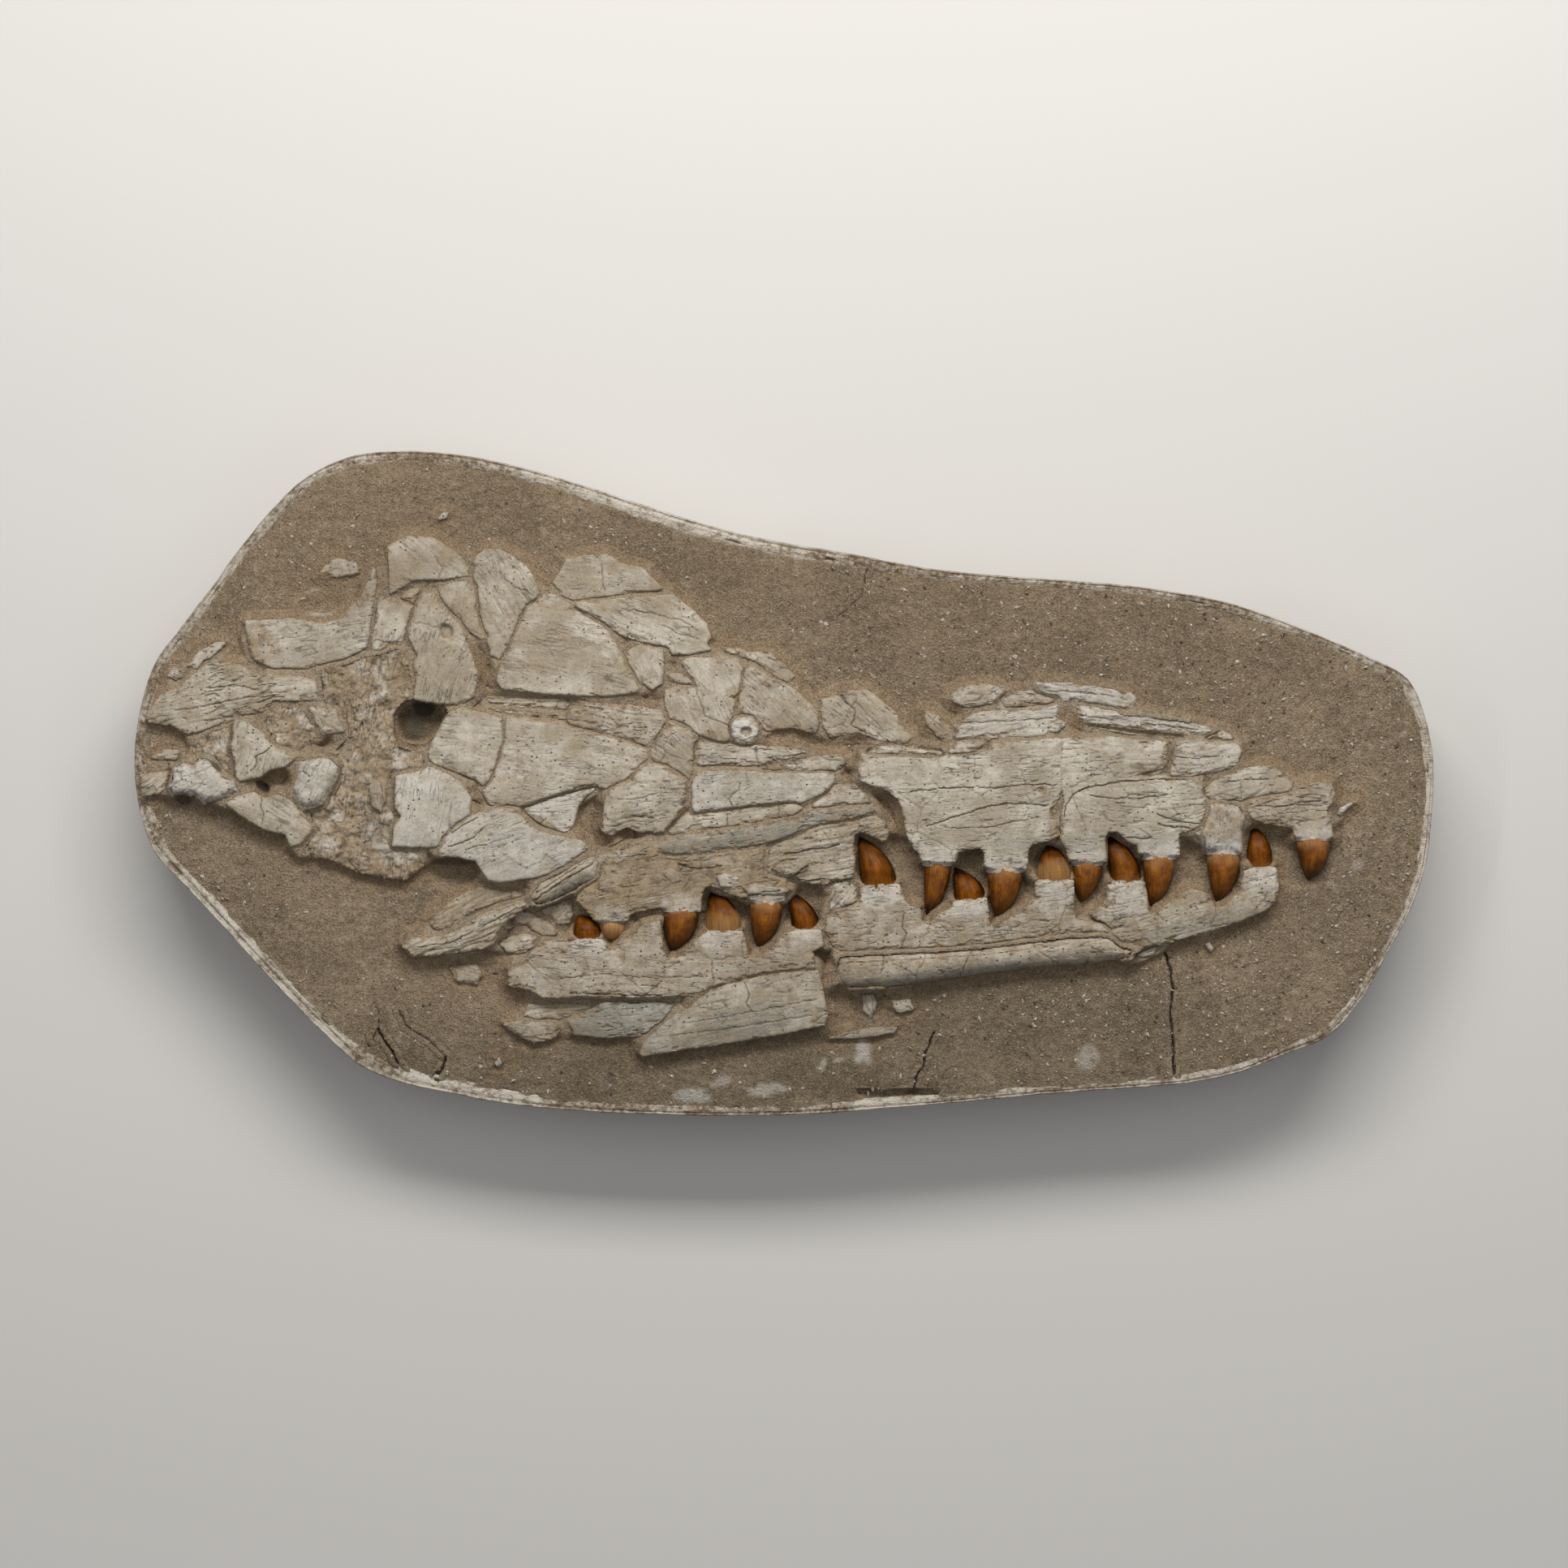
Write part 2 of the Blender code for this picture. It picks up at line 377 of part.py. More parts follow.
    ], 5.4, 0.8),
    Bone("premaxilla_upper", [
        (207.5, -4.3), (212, -0.5), (220, 3.3), (230, 6.7), (238.5, 7), (243, 5), (247, 1), (248.5, -2.3),
        (243, -4), (234, -5), (227, -6.8), (218, -7.4), (211, -6.2),
    ], 5.0, 0.6),
    Bone("premaxilla_lower", [
        (228, -10), (236, -7.6), (248, -6.3), (253, -3.2), (260, -0.8), (268, -1), (269.3, -5), (266.5, -13),
        (267.5, -18), (268.6, -26.4), (252.3, -26.4), (251.3, -21), (243, -19), (236, -17.8), (231, -16),
        (228.3, -13),
    ], 6.6, 0.8, (0.0, 0.01), "bone", (
        Tooth((260.4, -26.8), 16.0, (258.9, -47.4)),
    )),
    Bone("premaxilla_socket", [
        (208.5, -14), (210, -10.2), (216, -9.4), (222, -10.2), (225.5, -13.5), (226.3, -18), (225, -22.5),
        (224.6, -33.6), (208.2, -33.6), (204.5, -27.5), (201, -24), (206.5, -22),
    ], 7.6, 1.0, (0.0, 0.01), "pale", (
        Tooth((216.4, -33.9), 15.8, (214.2, -58.8)),
    )),

    # Splints of the far side of the snout
    Bone("snout_splint_rear", [
        (83.5, 42), (84, 45), (91, 47.5), (100, 48), (105, 46.5), (107, 44.5), (101, 40.5),
        (91, 38.8), (87, 40.3),
    ], 3.6, 0.6, tone="pale"),
    Bone("snout_splint_outer", [
        (125, 48.8), (142, 48.5), (160, 45.5), (170, 44), (172.5, 41.5), (171, 38), (155, 40),
        (135, 42), (124.5, 45.3),
    ], 3.0, 0.5),
    Bone("snout_splint_inner", [
        (83.5, 24.5), (92, 32.5), (97, 34.5), (118, 36), (134, 37.5), (134.8, 32), (137, 29), (134, 26),
        (120, 24.2), (100, 23.6), (84, 23.2),
    ], 4.0, 0.6),
    Bone("snout_splint_bundle", [
        (144, 38.3), (152, 37.8), (160, 35.8), (166, 34), (180, 32.5), (195, 30), (212, 26), (205, 25),
        (190, 25.8), (172, 27.3), (158, 28.6), (150, 29.8), (146, 34),
    ], 3.6, 0.4),
    Bone("nasal_front", [
        (20.3, 28), (19, 35), (19.5, 41), (27, 43.5), (33, 45.5), (41, 45.5), (46, 42), (50, 38), (54, 35.5),
        (56.5, 30), (58.5, 26), (62, 22.8), (60, 20.8), (54, 21.5), (46, 22.5), (40, 25), (36, 26),
        (30, 24.5), (23, 23.8),
    ], 3.4, 0.5, (0.02, 0.0)),
]

# Colour, roughness of each finish
FINISHES = {
    "bone": ((0.44, 0.39, 0.31), 0.82),
    "pale": ((0.53, 0.50, 0.44), 0.85),
    "tan": ((0.32, 0.26, 0.18), 0.85),
    "blue": ((0.30, 0.32, 0.30), 0.80),
    "plaster": ((0.50, 0.46, 0.39), 0.9),
    "rock": ((0.20, 0.15, 0.10), 0.92),
}


def clear_scene():
    """Empties the scene of its starting objects."""
    for thing in list(bpy.data.objects):
        bpy.data.objects.remove(thing, do_unlink=True)


def material(node, tone):
    """A material of the node's own, in one of the named finishes."""
    colour, roughness = FINISHES[tone]
    made = bpy.data.materials.new(node)
    made.use_nodes = True
    shader = made.node_tree.nodes["Principled BSDF"]
    shader.inputs["Base Color"].default_value = (*colour, 1.0)
    shader.inputs["Roughness"].default_value = roughness
    shader.inputs["Metallic"].default_value = 0.0
    return made


def area(points):
    """Signed area of a closed outline, positive when it runs anticlockwise."""
    x, y = np.asarray(points, float).T
    return 0.5 * float(np.sum(x * np.roll(y, -1) - np.roll(x, -1) * y))


def anticlockwise(points):
    """The outline as an array, turned to run anticlockwise."""
    found = np.asarray(points, float)
    return found if area(found) > 0 else found[::-1]


def moved_in(points, distance):
    """The outline moved inwards by a distance (outwards if it is negative), with mitred corners."""
    ahead = np.roll(points, -1, axis=0) - points
    ahead /= np.linalg.norm(ahead, axis=1)[:, None]
    behind = np.roll(ahead, 1, axis=0)
    inward_ahead = np.stack([-ahead[:, 1], ahead[:, 0]], axis=1)
    inward_behind = np.stack([-behind[:, 1], behind[:, 0]], axis=1)
    corner = inward_ahead + inward_behind
    scale = 2.0 / np.maximum(np.sum(corner * corner, axis=1), 0.8)
    return points + corner * scale[:, None] * np.asarray(distance)[..., None]


def crosses_itself(points):
    """Whether any two edges of a closed outline cross, neighbours apart."""
    count = len(points)
    run = np.roll(points, -1, axis=0) - points
    gap = points[None] - points[:, None]
    turn = run[:, None, 0] * run[None, :, 1] - run[:, None, 1] * run[None, :, 0]
    turn = np.where(np.abs(turn) < 1e-12, np.inf, turn)
    here = (gap[..., 0] * run[None, :, 1] - gap[..., 1] * run[None, :, 0]) / turn
    there = (gap[..., 0] * run[:, None, 1] - gap[..., 1] * run[:, None, 0]) / turn
    steps = np.abs(np.subtract.outer(np.arange(count), np.arange(count)))
    apart = (steps > 1) & (steps < count - 1) & np.isfinite(turn)
    return bool(np.any(apart & (here >= 0) & (here <= 1) & (there >= 0) & (there <= 1)))


def smooth_loop(points, count):
    """A closed Catmull-Rom curve through the points, read at even steps of its length."""
    p = anticlockwise(points)
    t = np.linspace(0, 1, 12, endpoint=False)[:, None]
    before, after, beyond = np.roll(p, 1, 0), np.roll(p, -1, 0), np.roll(p, -2, 0)
    runs = [
        0.5 * (2 * b + (c - a) * t + (2 * a - 5 * b + 4 * c - d) * t**2 + (3 * b - a - 3 * c + d) * t**3)
        for a, b, c, d in zip(before, p, after, beyond)
    ]
    dense = np.concatenate(runs + [runs[0][:1]])
    along = np.concatenate([[0], np.cumsum(np.linalg.norm(np.diff(dense, axis=0), axis=1))])
    wanted = np.linspace(0, along[-1], count, endpoint=False)
    return np.stack([np.interp(wanted, along, dense[:, k]) for k in (0, 1)], axis=1)


def stack_to_mesh(name, rings, triangles=True):
    """A closed mesh from rings of equal count, lowest first, capped at both ends."""
    count = len(rings[0])
    bm = bmesh.new()
    rows = [[bm.verts.new(tuple(point)) for point in ring] for ring in rings]
    for low, high in zip(rows, rows[1:]):
        for k in range(count):
            nxt = (k + 1) % count
            bm.faces.new((low[k], low[nxt], high[nxt], high[k]))
    bm.faces.new(list(reversed(rows[0])))
    bm.faces.new(rows[-1])
    if triangles:
        bmesh.ops.triangulate(bm, faces=bm.faces[:])
    mesh = bpy.data.meshes.new(name)
    bm.to_mesh(mesh)
    bm.free()
    return mesh


def new_object(name, mesh, tone=None):
    """Links a mesh to the scene, with the material of its finish."""
    made = bpy.data.objects.new(name, mesh)
    bpy.context.scene.collection.objects.link(made)
    if tone:
        mesh.materials.append(material(name, tone))
    return made


def ring_at(points, height):
    """An outline lifted to a height (a number, or one for each point), in metres."""
    heights = np.broadcast_to(height, len(points))
    return np.column_stack([points, heights]) * MM


def slab_loop():
    """The slab's smooth outline, centred on the origin."""
    loop = smooth_loop(SLAB, SLAB_POINTS)
    return loop - slab_centre()


def slab_centre():
    """Middle of the slab outline's box."""
    loop = smooth_loop(SLAB, SLAB_POINTS)
    return 0.5 * (loop.min(axis=0) + loop.max(axis=0))


def rim_thickness(loop):
    """Plaster thickness at each point of the slab's outline."""
    angle = np.degrees(np.arctan2(loop[:, 1], loop[:, 0])) % 360
    angles, sizes = zip(*RIM_THICKNESS)
    return np.interp(angle, angles, sizes)


def block_outline_rings(loop, clearance):
    """Rings of the space inside the jacket, from its floor to the rim, shrunk by a clearance."""
    rim = rim_thickness(loop) + clearance
    return [
        (JACKET_FLOOR + clearance, moved_in(loop, rim + CAVITY_FOOT_INSET)),
        (14.0, moved_in(loop, rim + 2.6)),
        (26.0, moved_in(loop, rim)),
    ]


def make_jacket():
    """The plaster tray: a rounded side, a flat foot, a thin rim and the space for the rock."""
    loop = slab_loop()
    rings = [ring_at(moved_in(loop, inset), height) for height, inset in JACKET_SIDE]
    rings.append(ring_at(moved_in(loop, RIM_INSET * 0.4), RIM_TOP - RIM_INSET))
    rings.append(ring_at(moved_in(loop, RIM_INSET), RIM_TOP))
    inner = block_outline_rings(loop, 0.0)
    rings.append(ring_at(inner[-1][1], RIM_TOP))
    rings.extend(ring_at(points, height) for height, points in reversed(inner))
    return new_object("plaster_jacket", stack_to_mesh("plaster_jacket", rings), "plaster")


def cutter(name, outline, low, high):
    """A plain prism that cuts a pocket in the rock."""
    loop = anticlockwise(outline)
    made = new_object(name, stack_to_mesh(name, [ring_at(loop, low), ring_at(loop, high)], triangles=False))
    made.hide_render = True
    made.display_type = "WIRE"
    return made


def largest_body(mesh):
    """Keeps only the largest closed surface of a mesh."""
    bm = bmesh.new()
    bm.from_mesh(mesh)
    bm.verts.ensure_lookup_table()
    seen = set()
    islands = []
    for start in bm.verts:
        if start.index in seen:
            continue
        island, queue = [], [start]
        seen.add(start.index)
        while queue:
            vertex = queue.pop()
            island.append(vertex)
            for edge in vertex.link_edges:
                other = edge.other_vert(vertex)
                if other.index not in seen:
                    seen.add(other.index)
                    queue.append(other)
        islands.append(island)
    islands.sort(key=len)
    for island in islands[:-1]:
        bmesh.ops.delete(bm, geom=island, context="VERTS")
    bmesh.ops.triangulate(bm, faces=bm.faces[:])
    bm.to_mesh(mesh)
    bm.free()


def combine(target, others, operation, solver="EXACT"):
    """Applies one Boolean of a group of closed objects to the target, then removes the group."""
    group = bpy.data.collections.new(target.name + "_group")
    bpy.context.scene.collection.children.link(group)
    for other in others:
        bpy.context.scene.collection.objects.unlink(other)
        group.objects.link(other)
    step = target.modifiers.new("combine", "BOOLEAN")
    step.operation = operation
    step.operand_type = "COLLECTION"
    step.collection = group
    step.solver = solver
    bpy.context.view_layer.update()
    evaluated = target.evaluated_get(bpy.context.evaluated_depsgraph_get())
    result = bpy.data.meshes.new_from_object(evaluated)
    target.modifiers.clear()
    old = target.data
    target.data = result
    bpy.data.meshes.remove(old)
    for other in others:
        bpy.data.objects.remove(other, do_unlink=True)
    bpy.data.collections.remove(group)
    largest_body(target.data)
    target.data.name = target.name


def tooth_width(share):
    """Width along a crown, from 1 at the base to 0 at the tip, with a slight belly."""
    return (1.0 - share**2.1) ** TOOTH_BELLY * (1.0 - 0.18 * share)


def tooth_curve(tooth, share):
    """A point on the crown's bent axis, and the direction there."""
    base, tip = np.array(tooth.base), np.array(tooth.tip)
    bend = base + np.array([0.0, 0.55 * (tip[1] - base[1])])
    point = (1 - share) ** 2 * base + 2 * share * (1 - share) * bend + share**2 * tip
    heading = 2 * (1 - share) * (bend - base) + 2 * share * (tip - bend)
    return point, heading / np.linalg.norm(heading)


def make_tooth(name, tooth):
    """A recurved cone with a flattened underside, its root running back into the jaw."""
    bed = SURFACE - MOUTH_DEPTH + GAP
    height = TOOTH_HEIGHT_TO_WIDTH * tooth.width
    arc = np.radians(TOOTH_ARC_DEGREES)
    lift = -math.sin(arc[0])
    rings = []
    for share in [-1.0] + TOOTH_STATIONS:
        if share < 0:
            point, heading = tooth_curve(tooth, 0.0)
            point = point - heading * ROOT_LENGTH
            size = ROOT_TAPER
        else:
            point, heading = tooth_curve(tooth, share)
            size = tooth_width(share)
        side = np.array([heading[1], -heading[0]])
        across = np.cos(arc) * tooth.width * 0.5 * size
        up = bed + (np.sin(arc) + lift) * height * size
        rings.append(np.column_stack([point + across[:, None] * side, up]) * MM)
    tip_height = bed + 0.35 * height
    bm = bmesh.new()
    rows = [[bm.verts.new(tuple(p)) for p in ring] for ring in rings]
    count = len(arc)
    for near, far in zip(rows, rows[1:]):
        for k in range(count):
            nxt = (k + 1) % count
            bm.faces.new((near[k], near[nxt], far[nxt], far[k]))
    tip = bm.verts.new((tooth.tip[0] * MM, tooth.tip[1] * MM, tip_height * MM))
    for k in range(count):
        bm.faces.new((rows[-1][k], rows[-1][(k + 1) % count], tip))
    bm.faces.new(list(reversed(rows[0])))
    bmesh.ops.recalc_face_normals(bm, faces=bm.faces[:])
    bmesh.ops.triangulate(bm, faces=bm.faces[:])
    mesh = bpy.data.meshes.new(name)
    bm.to_mesh(mesh)
    bm.free()
    return new_object(name, mesh)


def bone_rings(bone):
    """Rings of a bone plate: buried foot, edge and domed top."""
    loop = anticlockwise(bone.outline)
    centre = loop.mean(axis=0)
    inset = CROWN_INSET
    while crosses_itself(moved_in(loop, inset)):
        inset *= CROWN_INSET_STEP

    def lean(points):
        return (points - centre) @ np.array(bone.lean)

    top = SURFACE + bone.relief
    crowned = moved_in(loop, inset)
    return [
        ring_at(loop, SURFACE - EMBED),
        ring_at(loop, top - EDGE_BEVEL + lean(loop)),
        ring_at(crowned, top + bone.crown + lean(crowned)),
    ]


def make_bone(bone):
    """A bone plate with its teeth joined to it."""
    made = new_object(bone.name, stack_to_mesh(bone.name, bone_rings(bone)), bone.tone)
    teeth = [make_tooth(f"{bone.name}_tooth_{k}", tooth) for k, tooth in enumerate(bone.teeth)]
    if teeth:
        combine(made, teeth, "UNION", "MANIFOLD")
    return made


def make_block():
    """The rock: a block in the jacket, with pockets for the bones and the hollows cut into it."""
    loop = slab_loop()
    inner = block_outline_rings(loop, GAP)
    edge = inner[-1][1]
    rings = [ring_at(points, height) for height, points in inner]
    rings.append(ring_at(edge, SURFACE - BLOCK_EDGE_ROUND))
    rings.append(ring_at(moved_in(edge, BLOCK_EDGE_ROUND), SURFACE))
    block = new_object("rock_block", stack_to_mesh("rock_block", rings, triangles=False), "rock")
    above = SURFACE + 10.0
    floor = SURFACE - EMBED - GAP
    cutters = [
        cutter(f"pocket_{bone.name}", moved_in(anticlockwise(bone.outline), -GAP), floor, above)
        for bone in BONES
    ]
    cutters.append(cutter("mouth", MOUTH_TOP + MOUTH_BOTTOM, SURFACE - MOUTH_DEPTH, above))
    cutters.append(cutter("foramen", FORAMEN, SURFACE - FORAMEN_DEPTH, above))
    cutters.append(cutter("cheek_hollow", CHEEK_HOLLOW, SURFACE - CHEEK_HOLLOW_DEPTH, above))
    combine(block, cutters, "DIFFERENCE")
    return block


def main():
    clear_scene()
    shift = slab_centre()
    for bone in BONES:
        bone.outline = [tuple(np.array(point) - shift) for point in bone.outline]
        for tooth in bone.teeth:
            tooth.base = tuple(np.array(tooth.base) - shift)
            tooth.tip = tuple(np.array(tooth.tip) - shift)
    make_jacket()
    make_block()
    for bone in BONES:
        make_bone(bone)


main()
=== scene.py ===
"""Dresses a mosasaur skull that lies in relief on a slab of sandy chalk in a plaster jacket.

Lengths are millimetres until a mesh is made. +X runs to the tip of the snout, +Y to the far
long edge of the slab and +Z up, out of the fossil. Outlines and cracks are seen from above.
"""
import json
import logging
import math
from dataclasses import dataclass, field, fields
from enum import Enum, IntEnum

import bmesh
import bpy
import numpy as np
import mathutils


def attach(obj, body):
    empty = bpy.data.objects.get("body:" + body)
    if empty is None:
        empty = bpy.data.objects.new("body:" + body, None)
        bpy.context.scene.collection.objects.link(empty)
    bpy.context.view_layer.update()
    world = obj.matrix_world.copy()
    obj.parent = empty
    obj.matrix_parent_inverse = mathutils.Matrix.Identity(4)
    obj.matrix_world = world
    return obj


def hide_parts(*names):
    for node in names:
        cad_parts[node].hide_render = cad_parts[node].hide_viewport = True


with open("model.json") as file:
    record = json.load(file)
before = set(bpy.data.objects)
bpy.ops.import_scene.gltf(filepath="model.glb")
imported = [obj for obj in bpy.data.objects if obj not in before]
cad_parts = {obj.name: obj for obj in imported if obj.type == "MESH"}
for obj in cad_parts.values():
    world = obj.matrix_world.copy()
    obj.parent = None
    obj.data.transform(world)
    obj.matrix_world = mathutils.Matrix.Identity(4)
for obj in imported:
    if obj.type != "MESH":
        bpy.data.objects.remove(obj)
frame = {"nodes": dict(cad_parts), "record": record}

LOG = logging.getLogger("skull_slab")
Array = np.ndarray
Point = tuple[float, float]
Colour = tuple[float, float, float]
Socket = bpy.types.NodeSocket
Value = Socket | float | tuple[float, ...] | None

MM = 0.001

# Levels of the slab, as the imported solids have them. The last two are rings of their corners.
FACE = 46.0
BONE_FOOT = 41.0
RIM_TOP = 45.4
TRAY_FLOOR = 8.0
BLOCK_RING = 26.0
JACKET_RING = 40.0

# How deep the rock is cut back between the jaws, in the skull roof's opening and in the cheek
MOUTH_CUT = 1.7
FORAMEN_CUT = 16.0
CHEEK_CUT = 3.0

# Teeth: level of their bed, height of a section over its width, and how far its middle is raised
TOOTH_BED = FACE - 3.0 + 0.32
TOOTH_RISE = 0.42
TOOTH_LIFT = 0.56

# Grid cells of the relief pieces
BONE_CELL = 0.46
FILL_CELL = 0.56
ROCK_CELL = 1.42

# First seeds of the pieces, and the step from bone to bone
BONE_SEED = 1000
CHIP_SEED = 6000
TOOTH_SEED = 9000
ROCK_SEED = 300
SEED_STEP = 70

# Half the width of the seam that stays between two bones, and of those between single bones:
# below zero the first laps over the second
HALF_SEAM = 0.42
LAPS = {("maxilla_mid", "maxilla_front"): -1.6, ("maxilla_front", "maxilla_mid"): 0.2}


class Build(Enum):
    """How the top of a bone is shaped."""

    PLATE = "plate"
    ROD = "rod"
    BOSS = "boss"
    SPLINT = "splint"
    RUBBLE = "rubble"


PLATE, ROD, BOSS, SPLINT, RUBBLE = Build


class Tint(IntEnum):
    """What a patch does to the surface below it, as the column of the marks that it fills."""

    STAIN = 0
    CHALK = 1
    GREY = 2
    # Dark: dark cracks, spots and grit, and painted shade in holes, pits and hollows and toward the rock's
    # far and near edges
    DARK = 3


# ---- Patterns ----


def fade(t: Array) -> Array:
    """Smooth step 6t^5 - 15t^4 + 10t^3, flat at both ends."""
    return t * t * t * (t * (t * 6 - 15) + 10)


def ripple(x: Array, y: Array, size: float, seed: int) -> Array:
    """Gradient noise: slopes at the corners of square cells, blended with the smooth step.

    Args:
        x, y: where the noise is read, in millimetres.
        size: the cell's side.
        seed: picks the slopes.

    Returns:
        Values from about -1 to 1.
    """
    turn = np.random.default_rng(seed).random((256, 256)) * 2 * np.pi
    u, v = x / size, y / size
    i, j = np.floor(u).astype(int), np.floor(v).astype(int)
    u, v = u - i, v - j

    def corner(di: int, dj: int) -> Array:
        """Rise of one corner's slope at the point."""
        angle = turn[(i + di) & 255, (j + dj) & 255]
        return np.cos(angle) * (u - di) + np.sin(angle) * (v - dj)

    a, b = fade(u), fade(v)
    low = corner(0, 0) * (1 - a) + corner(1, 0) * a
    high = corner(0, 1) * (1 - a) + corner(1, 1) * a
    return 1.5 * (low * (1 - b) + high * b)


def rough(x: Array, y: Array, size: float, seed: int, octaves: int = 3, gain: float = 0.55) -> Array:
    """Sum of ripples, each half the size of the one before and weaker by the gain."""
    weights = [gain**k for k in range(octaves)]
    return sum(w * ripple(x, y, size / 2**k, seed + k) for k, w in enumerate(weights)) / sum(weights)


def shards(x: Array, y: Array, size: float, seed: int) -> tuple[Array, Array]:
    """Broken-plate pattern: each point belongs to the nearest of a set of scattered centres.

    Args:
        x, y: where the pattern is read.
        size: usual width of a shard.
        seed: picks the centres.

    Returns:
        The shard's own number from 0 to 1, and the distance to its border.
    """
    centres = np.random.default_rng(seed).random((64, 64, 3))
    u, v = x / size, y / size
    i, j = np.floor(u).astype(int), np.floor(v).astype(int)
    best, second, value = np.full(x.shape, 9.0), np.full(x.shape, 9.0), np.zeros(x.shape)
    for di in (-1, 0, 1):
        for dj in (-1, 0, 1):
            centre = centres[(i + di) & 63, (j + dj) & 63]
            gap = np.hypot(i + di + centre[..., 0] - u, j + dj + centre[..., 1] - v)
            closer = gap < best
            second = np.where(closer, best, np.minimum(second, gap))
            value = np.where(closer, centre[..., 2], value)
            best = np.where(closer, gap, best)
    return value, 0.5 * (second - best) * size


def band(value: Array, low: float, high: float) -> Array:
    """Smooth rise from 0 at low to 1 at high."""
    return fade(np.clip((value - low) / (high - low), 0, 1))


def dome(depth: Array, reach: float) -> Array:
    """Quarter-circle rise: 0 at the edge, 1 at a reach from it."""
    share = 1 - np.clip(depth / reach, 0, 1)
    return np.sqrt(np.clip(1 - share * share, 0, 1))


# ---- Outlines and lines ----


@dataclass
class Outline:
    """A closed outline, kept as the starts and ends of its edges in any order."""

    start: Array
    end: Array

    @classmethod
    def through(cls, points: tuple[Point, ...] | Array) -> "Outline":
        """The outline that passes through the points and closes on the first."""
        run = np.asarray(points, float)
        return cls(run, np.roll(run, -1, axis=0))

    @classmethod
    def foot_of(cls, node: str) -> "Outline":
        """The outline of a packed bone's flat foot: the edges that only one foot triangle has."""
        spots, triangles = welded(node)
        low = spots[:, 2].min() + 0.01
        foot = triangles[(spots[triangles, 2] < low).all(axis=1)]
        first, second = boundary([foot], len(spots))
        return cls(spots[first, :2], spots[second, :2])

    def box(self) -> tuple[Array, Array]:
        """Lowest and highest corner."""
        return self.start.min(axis=0), self.start.max(axis=0)

    def heading(self) -> float:
        """Direction of the long axis in radians: the first axis of the edges' spread."""
        middle = 0.5 * (self.start + self.end)
        length = np.linalg.norm(self.end - self.start, axis=1)
        centre = np.average(middle, axis=0, weights=length)
        spread = np.cov((middle - centre).T, aweights=length)
        return 0.5 * math.atan2(2 * spread[0, 1], spread[0, 0] - spread[1, 1])

    def depth(self, points: Array) -> tuple[Array, Array]:
        """How deep points lie inside: the distance to the nearest edge, negative outside.

        Args:
            points: places as rows of x and y.

        Returns:
            The depths, and the unit directions in which the depth grows fastest.
        """
        depths, inward = [], []
        run = self.end - self.start
        for some in np.array_split(points, max(1, len(points) * len(run) // 2_000_000)):
            away = some[:, None] - self.start[None]
            share = np.clip((away * run).sum(-1) / np.maximum((run * run).sum(-1), 1e-9), 0, 1)
            away = away - share[..., None] * run
            square = (away * away).sum(-1)
            nearest = square.argmin(axis=1)
            row = np.arange(len(some))
            far = np.sqrt(square[row, nearest])
            x, y = some[:, :1], some[:, 1:]
            rises = (self.start[:, 1] > y) != (self.end[:, 1] > y)
            slope = run[:, 1] + (run[:, 1] == 0)
            crossed = rises & (x < self.start[:, 0] + (y - self.start[:, 1]) / slope * run[:, 0])
            side = np.where(crossed.sum(axis=1) % 2 == 1, 1.0, -1.0)
            depths.append(far * side)
            inward.append(away[row, nearest] / np.maximum(far, 1e-6)[:, None] * side[:, None])
        return np.concatenate(depths), np.concatenate(inward)

    def depth_at(self, x: Array, y: Array) -> Array:
        """How deep places lie inside."""
        return self.depth(np.stack([x, y], axis=1))[0]


@dataclass
class Grown:
    """An outline that reaches past its own line and stops half a seam before the middle of a gap.

    A seam below zero makes it lap over that neighbour.
    """

    own: Outline
    others: list[Outline] = field(default_factory=list)
    growth: float = 1.0
    seams: list[float] = field(default_factory=list)

    def box(self) -> tuple[Array, Array]:
        """Lowest and highest corner."""
        low, high = self.own.box()
        return low - self.growth, high + self.growth

    def heading(self) -> float:
        """Direction of the long axis in radians."""
        return self.own.heading()

    def depth(self, points: Array) -> tuple[Array, Array]:
        """Depth: the own depth plus the growth, or half the lead over a neighbour if that is less."""
        deep, inward = self.own.depth(points)
        value, way = deep + self.growth, inward.copy()
        rim = np.flatnonzero(deep < 4.0)
        for other, seam in zip(self.others, self.seams):
            low, high = other.box()
            some = rim[((points[rim] > low - 9) & (points[rim] < high + 9)).all(axis=1)]
            if not len(some):
                continue
            theirs, toward = other.depth(points[some])
            slope = 0.5 * (inward[some] - toward)
            size = np.maximum(np.linalg.norm(slope, axis=1), 0.5)
            lead = (0.5 * (deep[some] - theirs) - seam) / size
            less = lead < value[some]
            value[some[less]] = lead[less]
            way[some[less]] = slope[less] / size[less, None]
        return value, way


def ring_of(node: str, level: float) -> Array:
    """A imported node's corners at a level, in order round the slab."""
    spots, _triangles = welded(node)
    ring = spots[np.abs(spots[:, 2] - level) < 0.02][:, :2]
    return ring[np.argsort(np.arctan2(ring[:, 1], ring[:, 0]))]


def welded(node: str) -> tuple[Array, Array]:
    """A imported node's corners in millimetres, each once, and its triangles as rows of three."""
    mesh = frame["nodes"][node].data
    places = np.empty(len(mesh.vertices) * 3, np.float32)
    mesh.vertices.foreach_get("co", places)
    corners = np.empty(len(mesh.loops), np.int32)
    mesh.loops.foreach_get("vertex_index", corners)
    fine = np.round(places.reshape(-1, 3) / MM, 3)
    spots, index = np.unique(fine, axis=0, return_inverse=True)
    return spots, index.ravel()[corners].reshape(-1, 3)


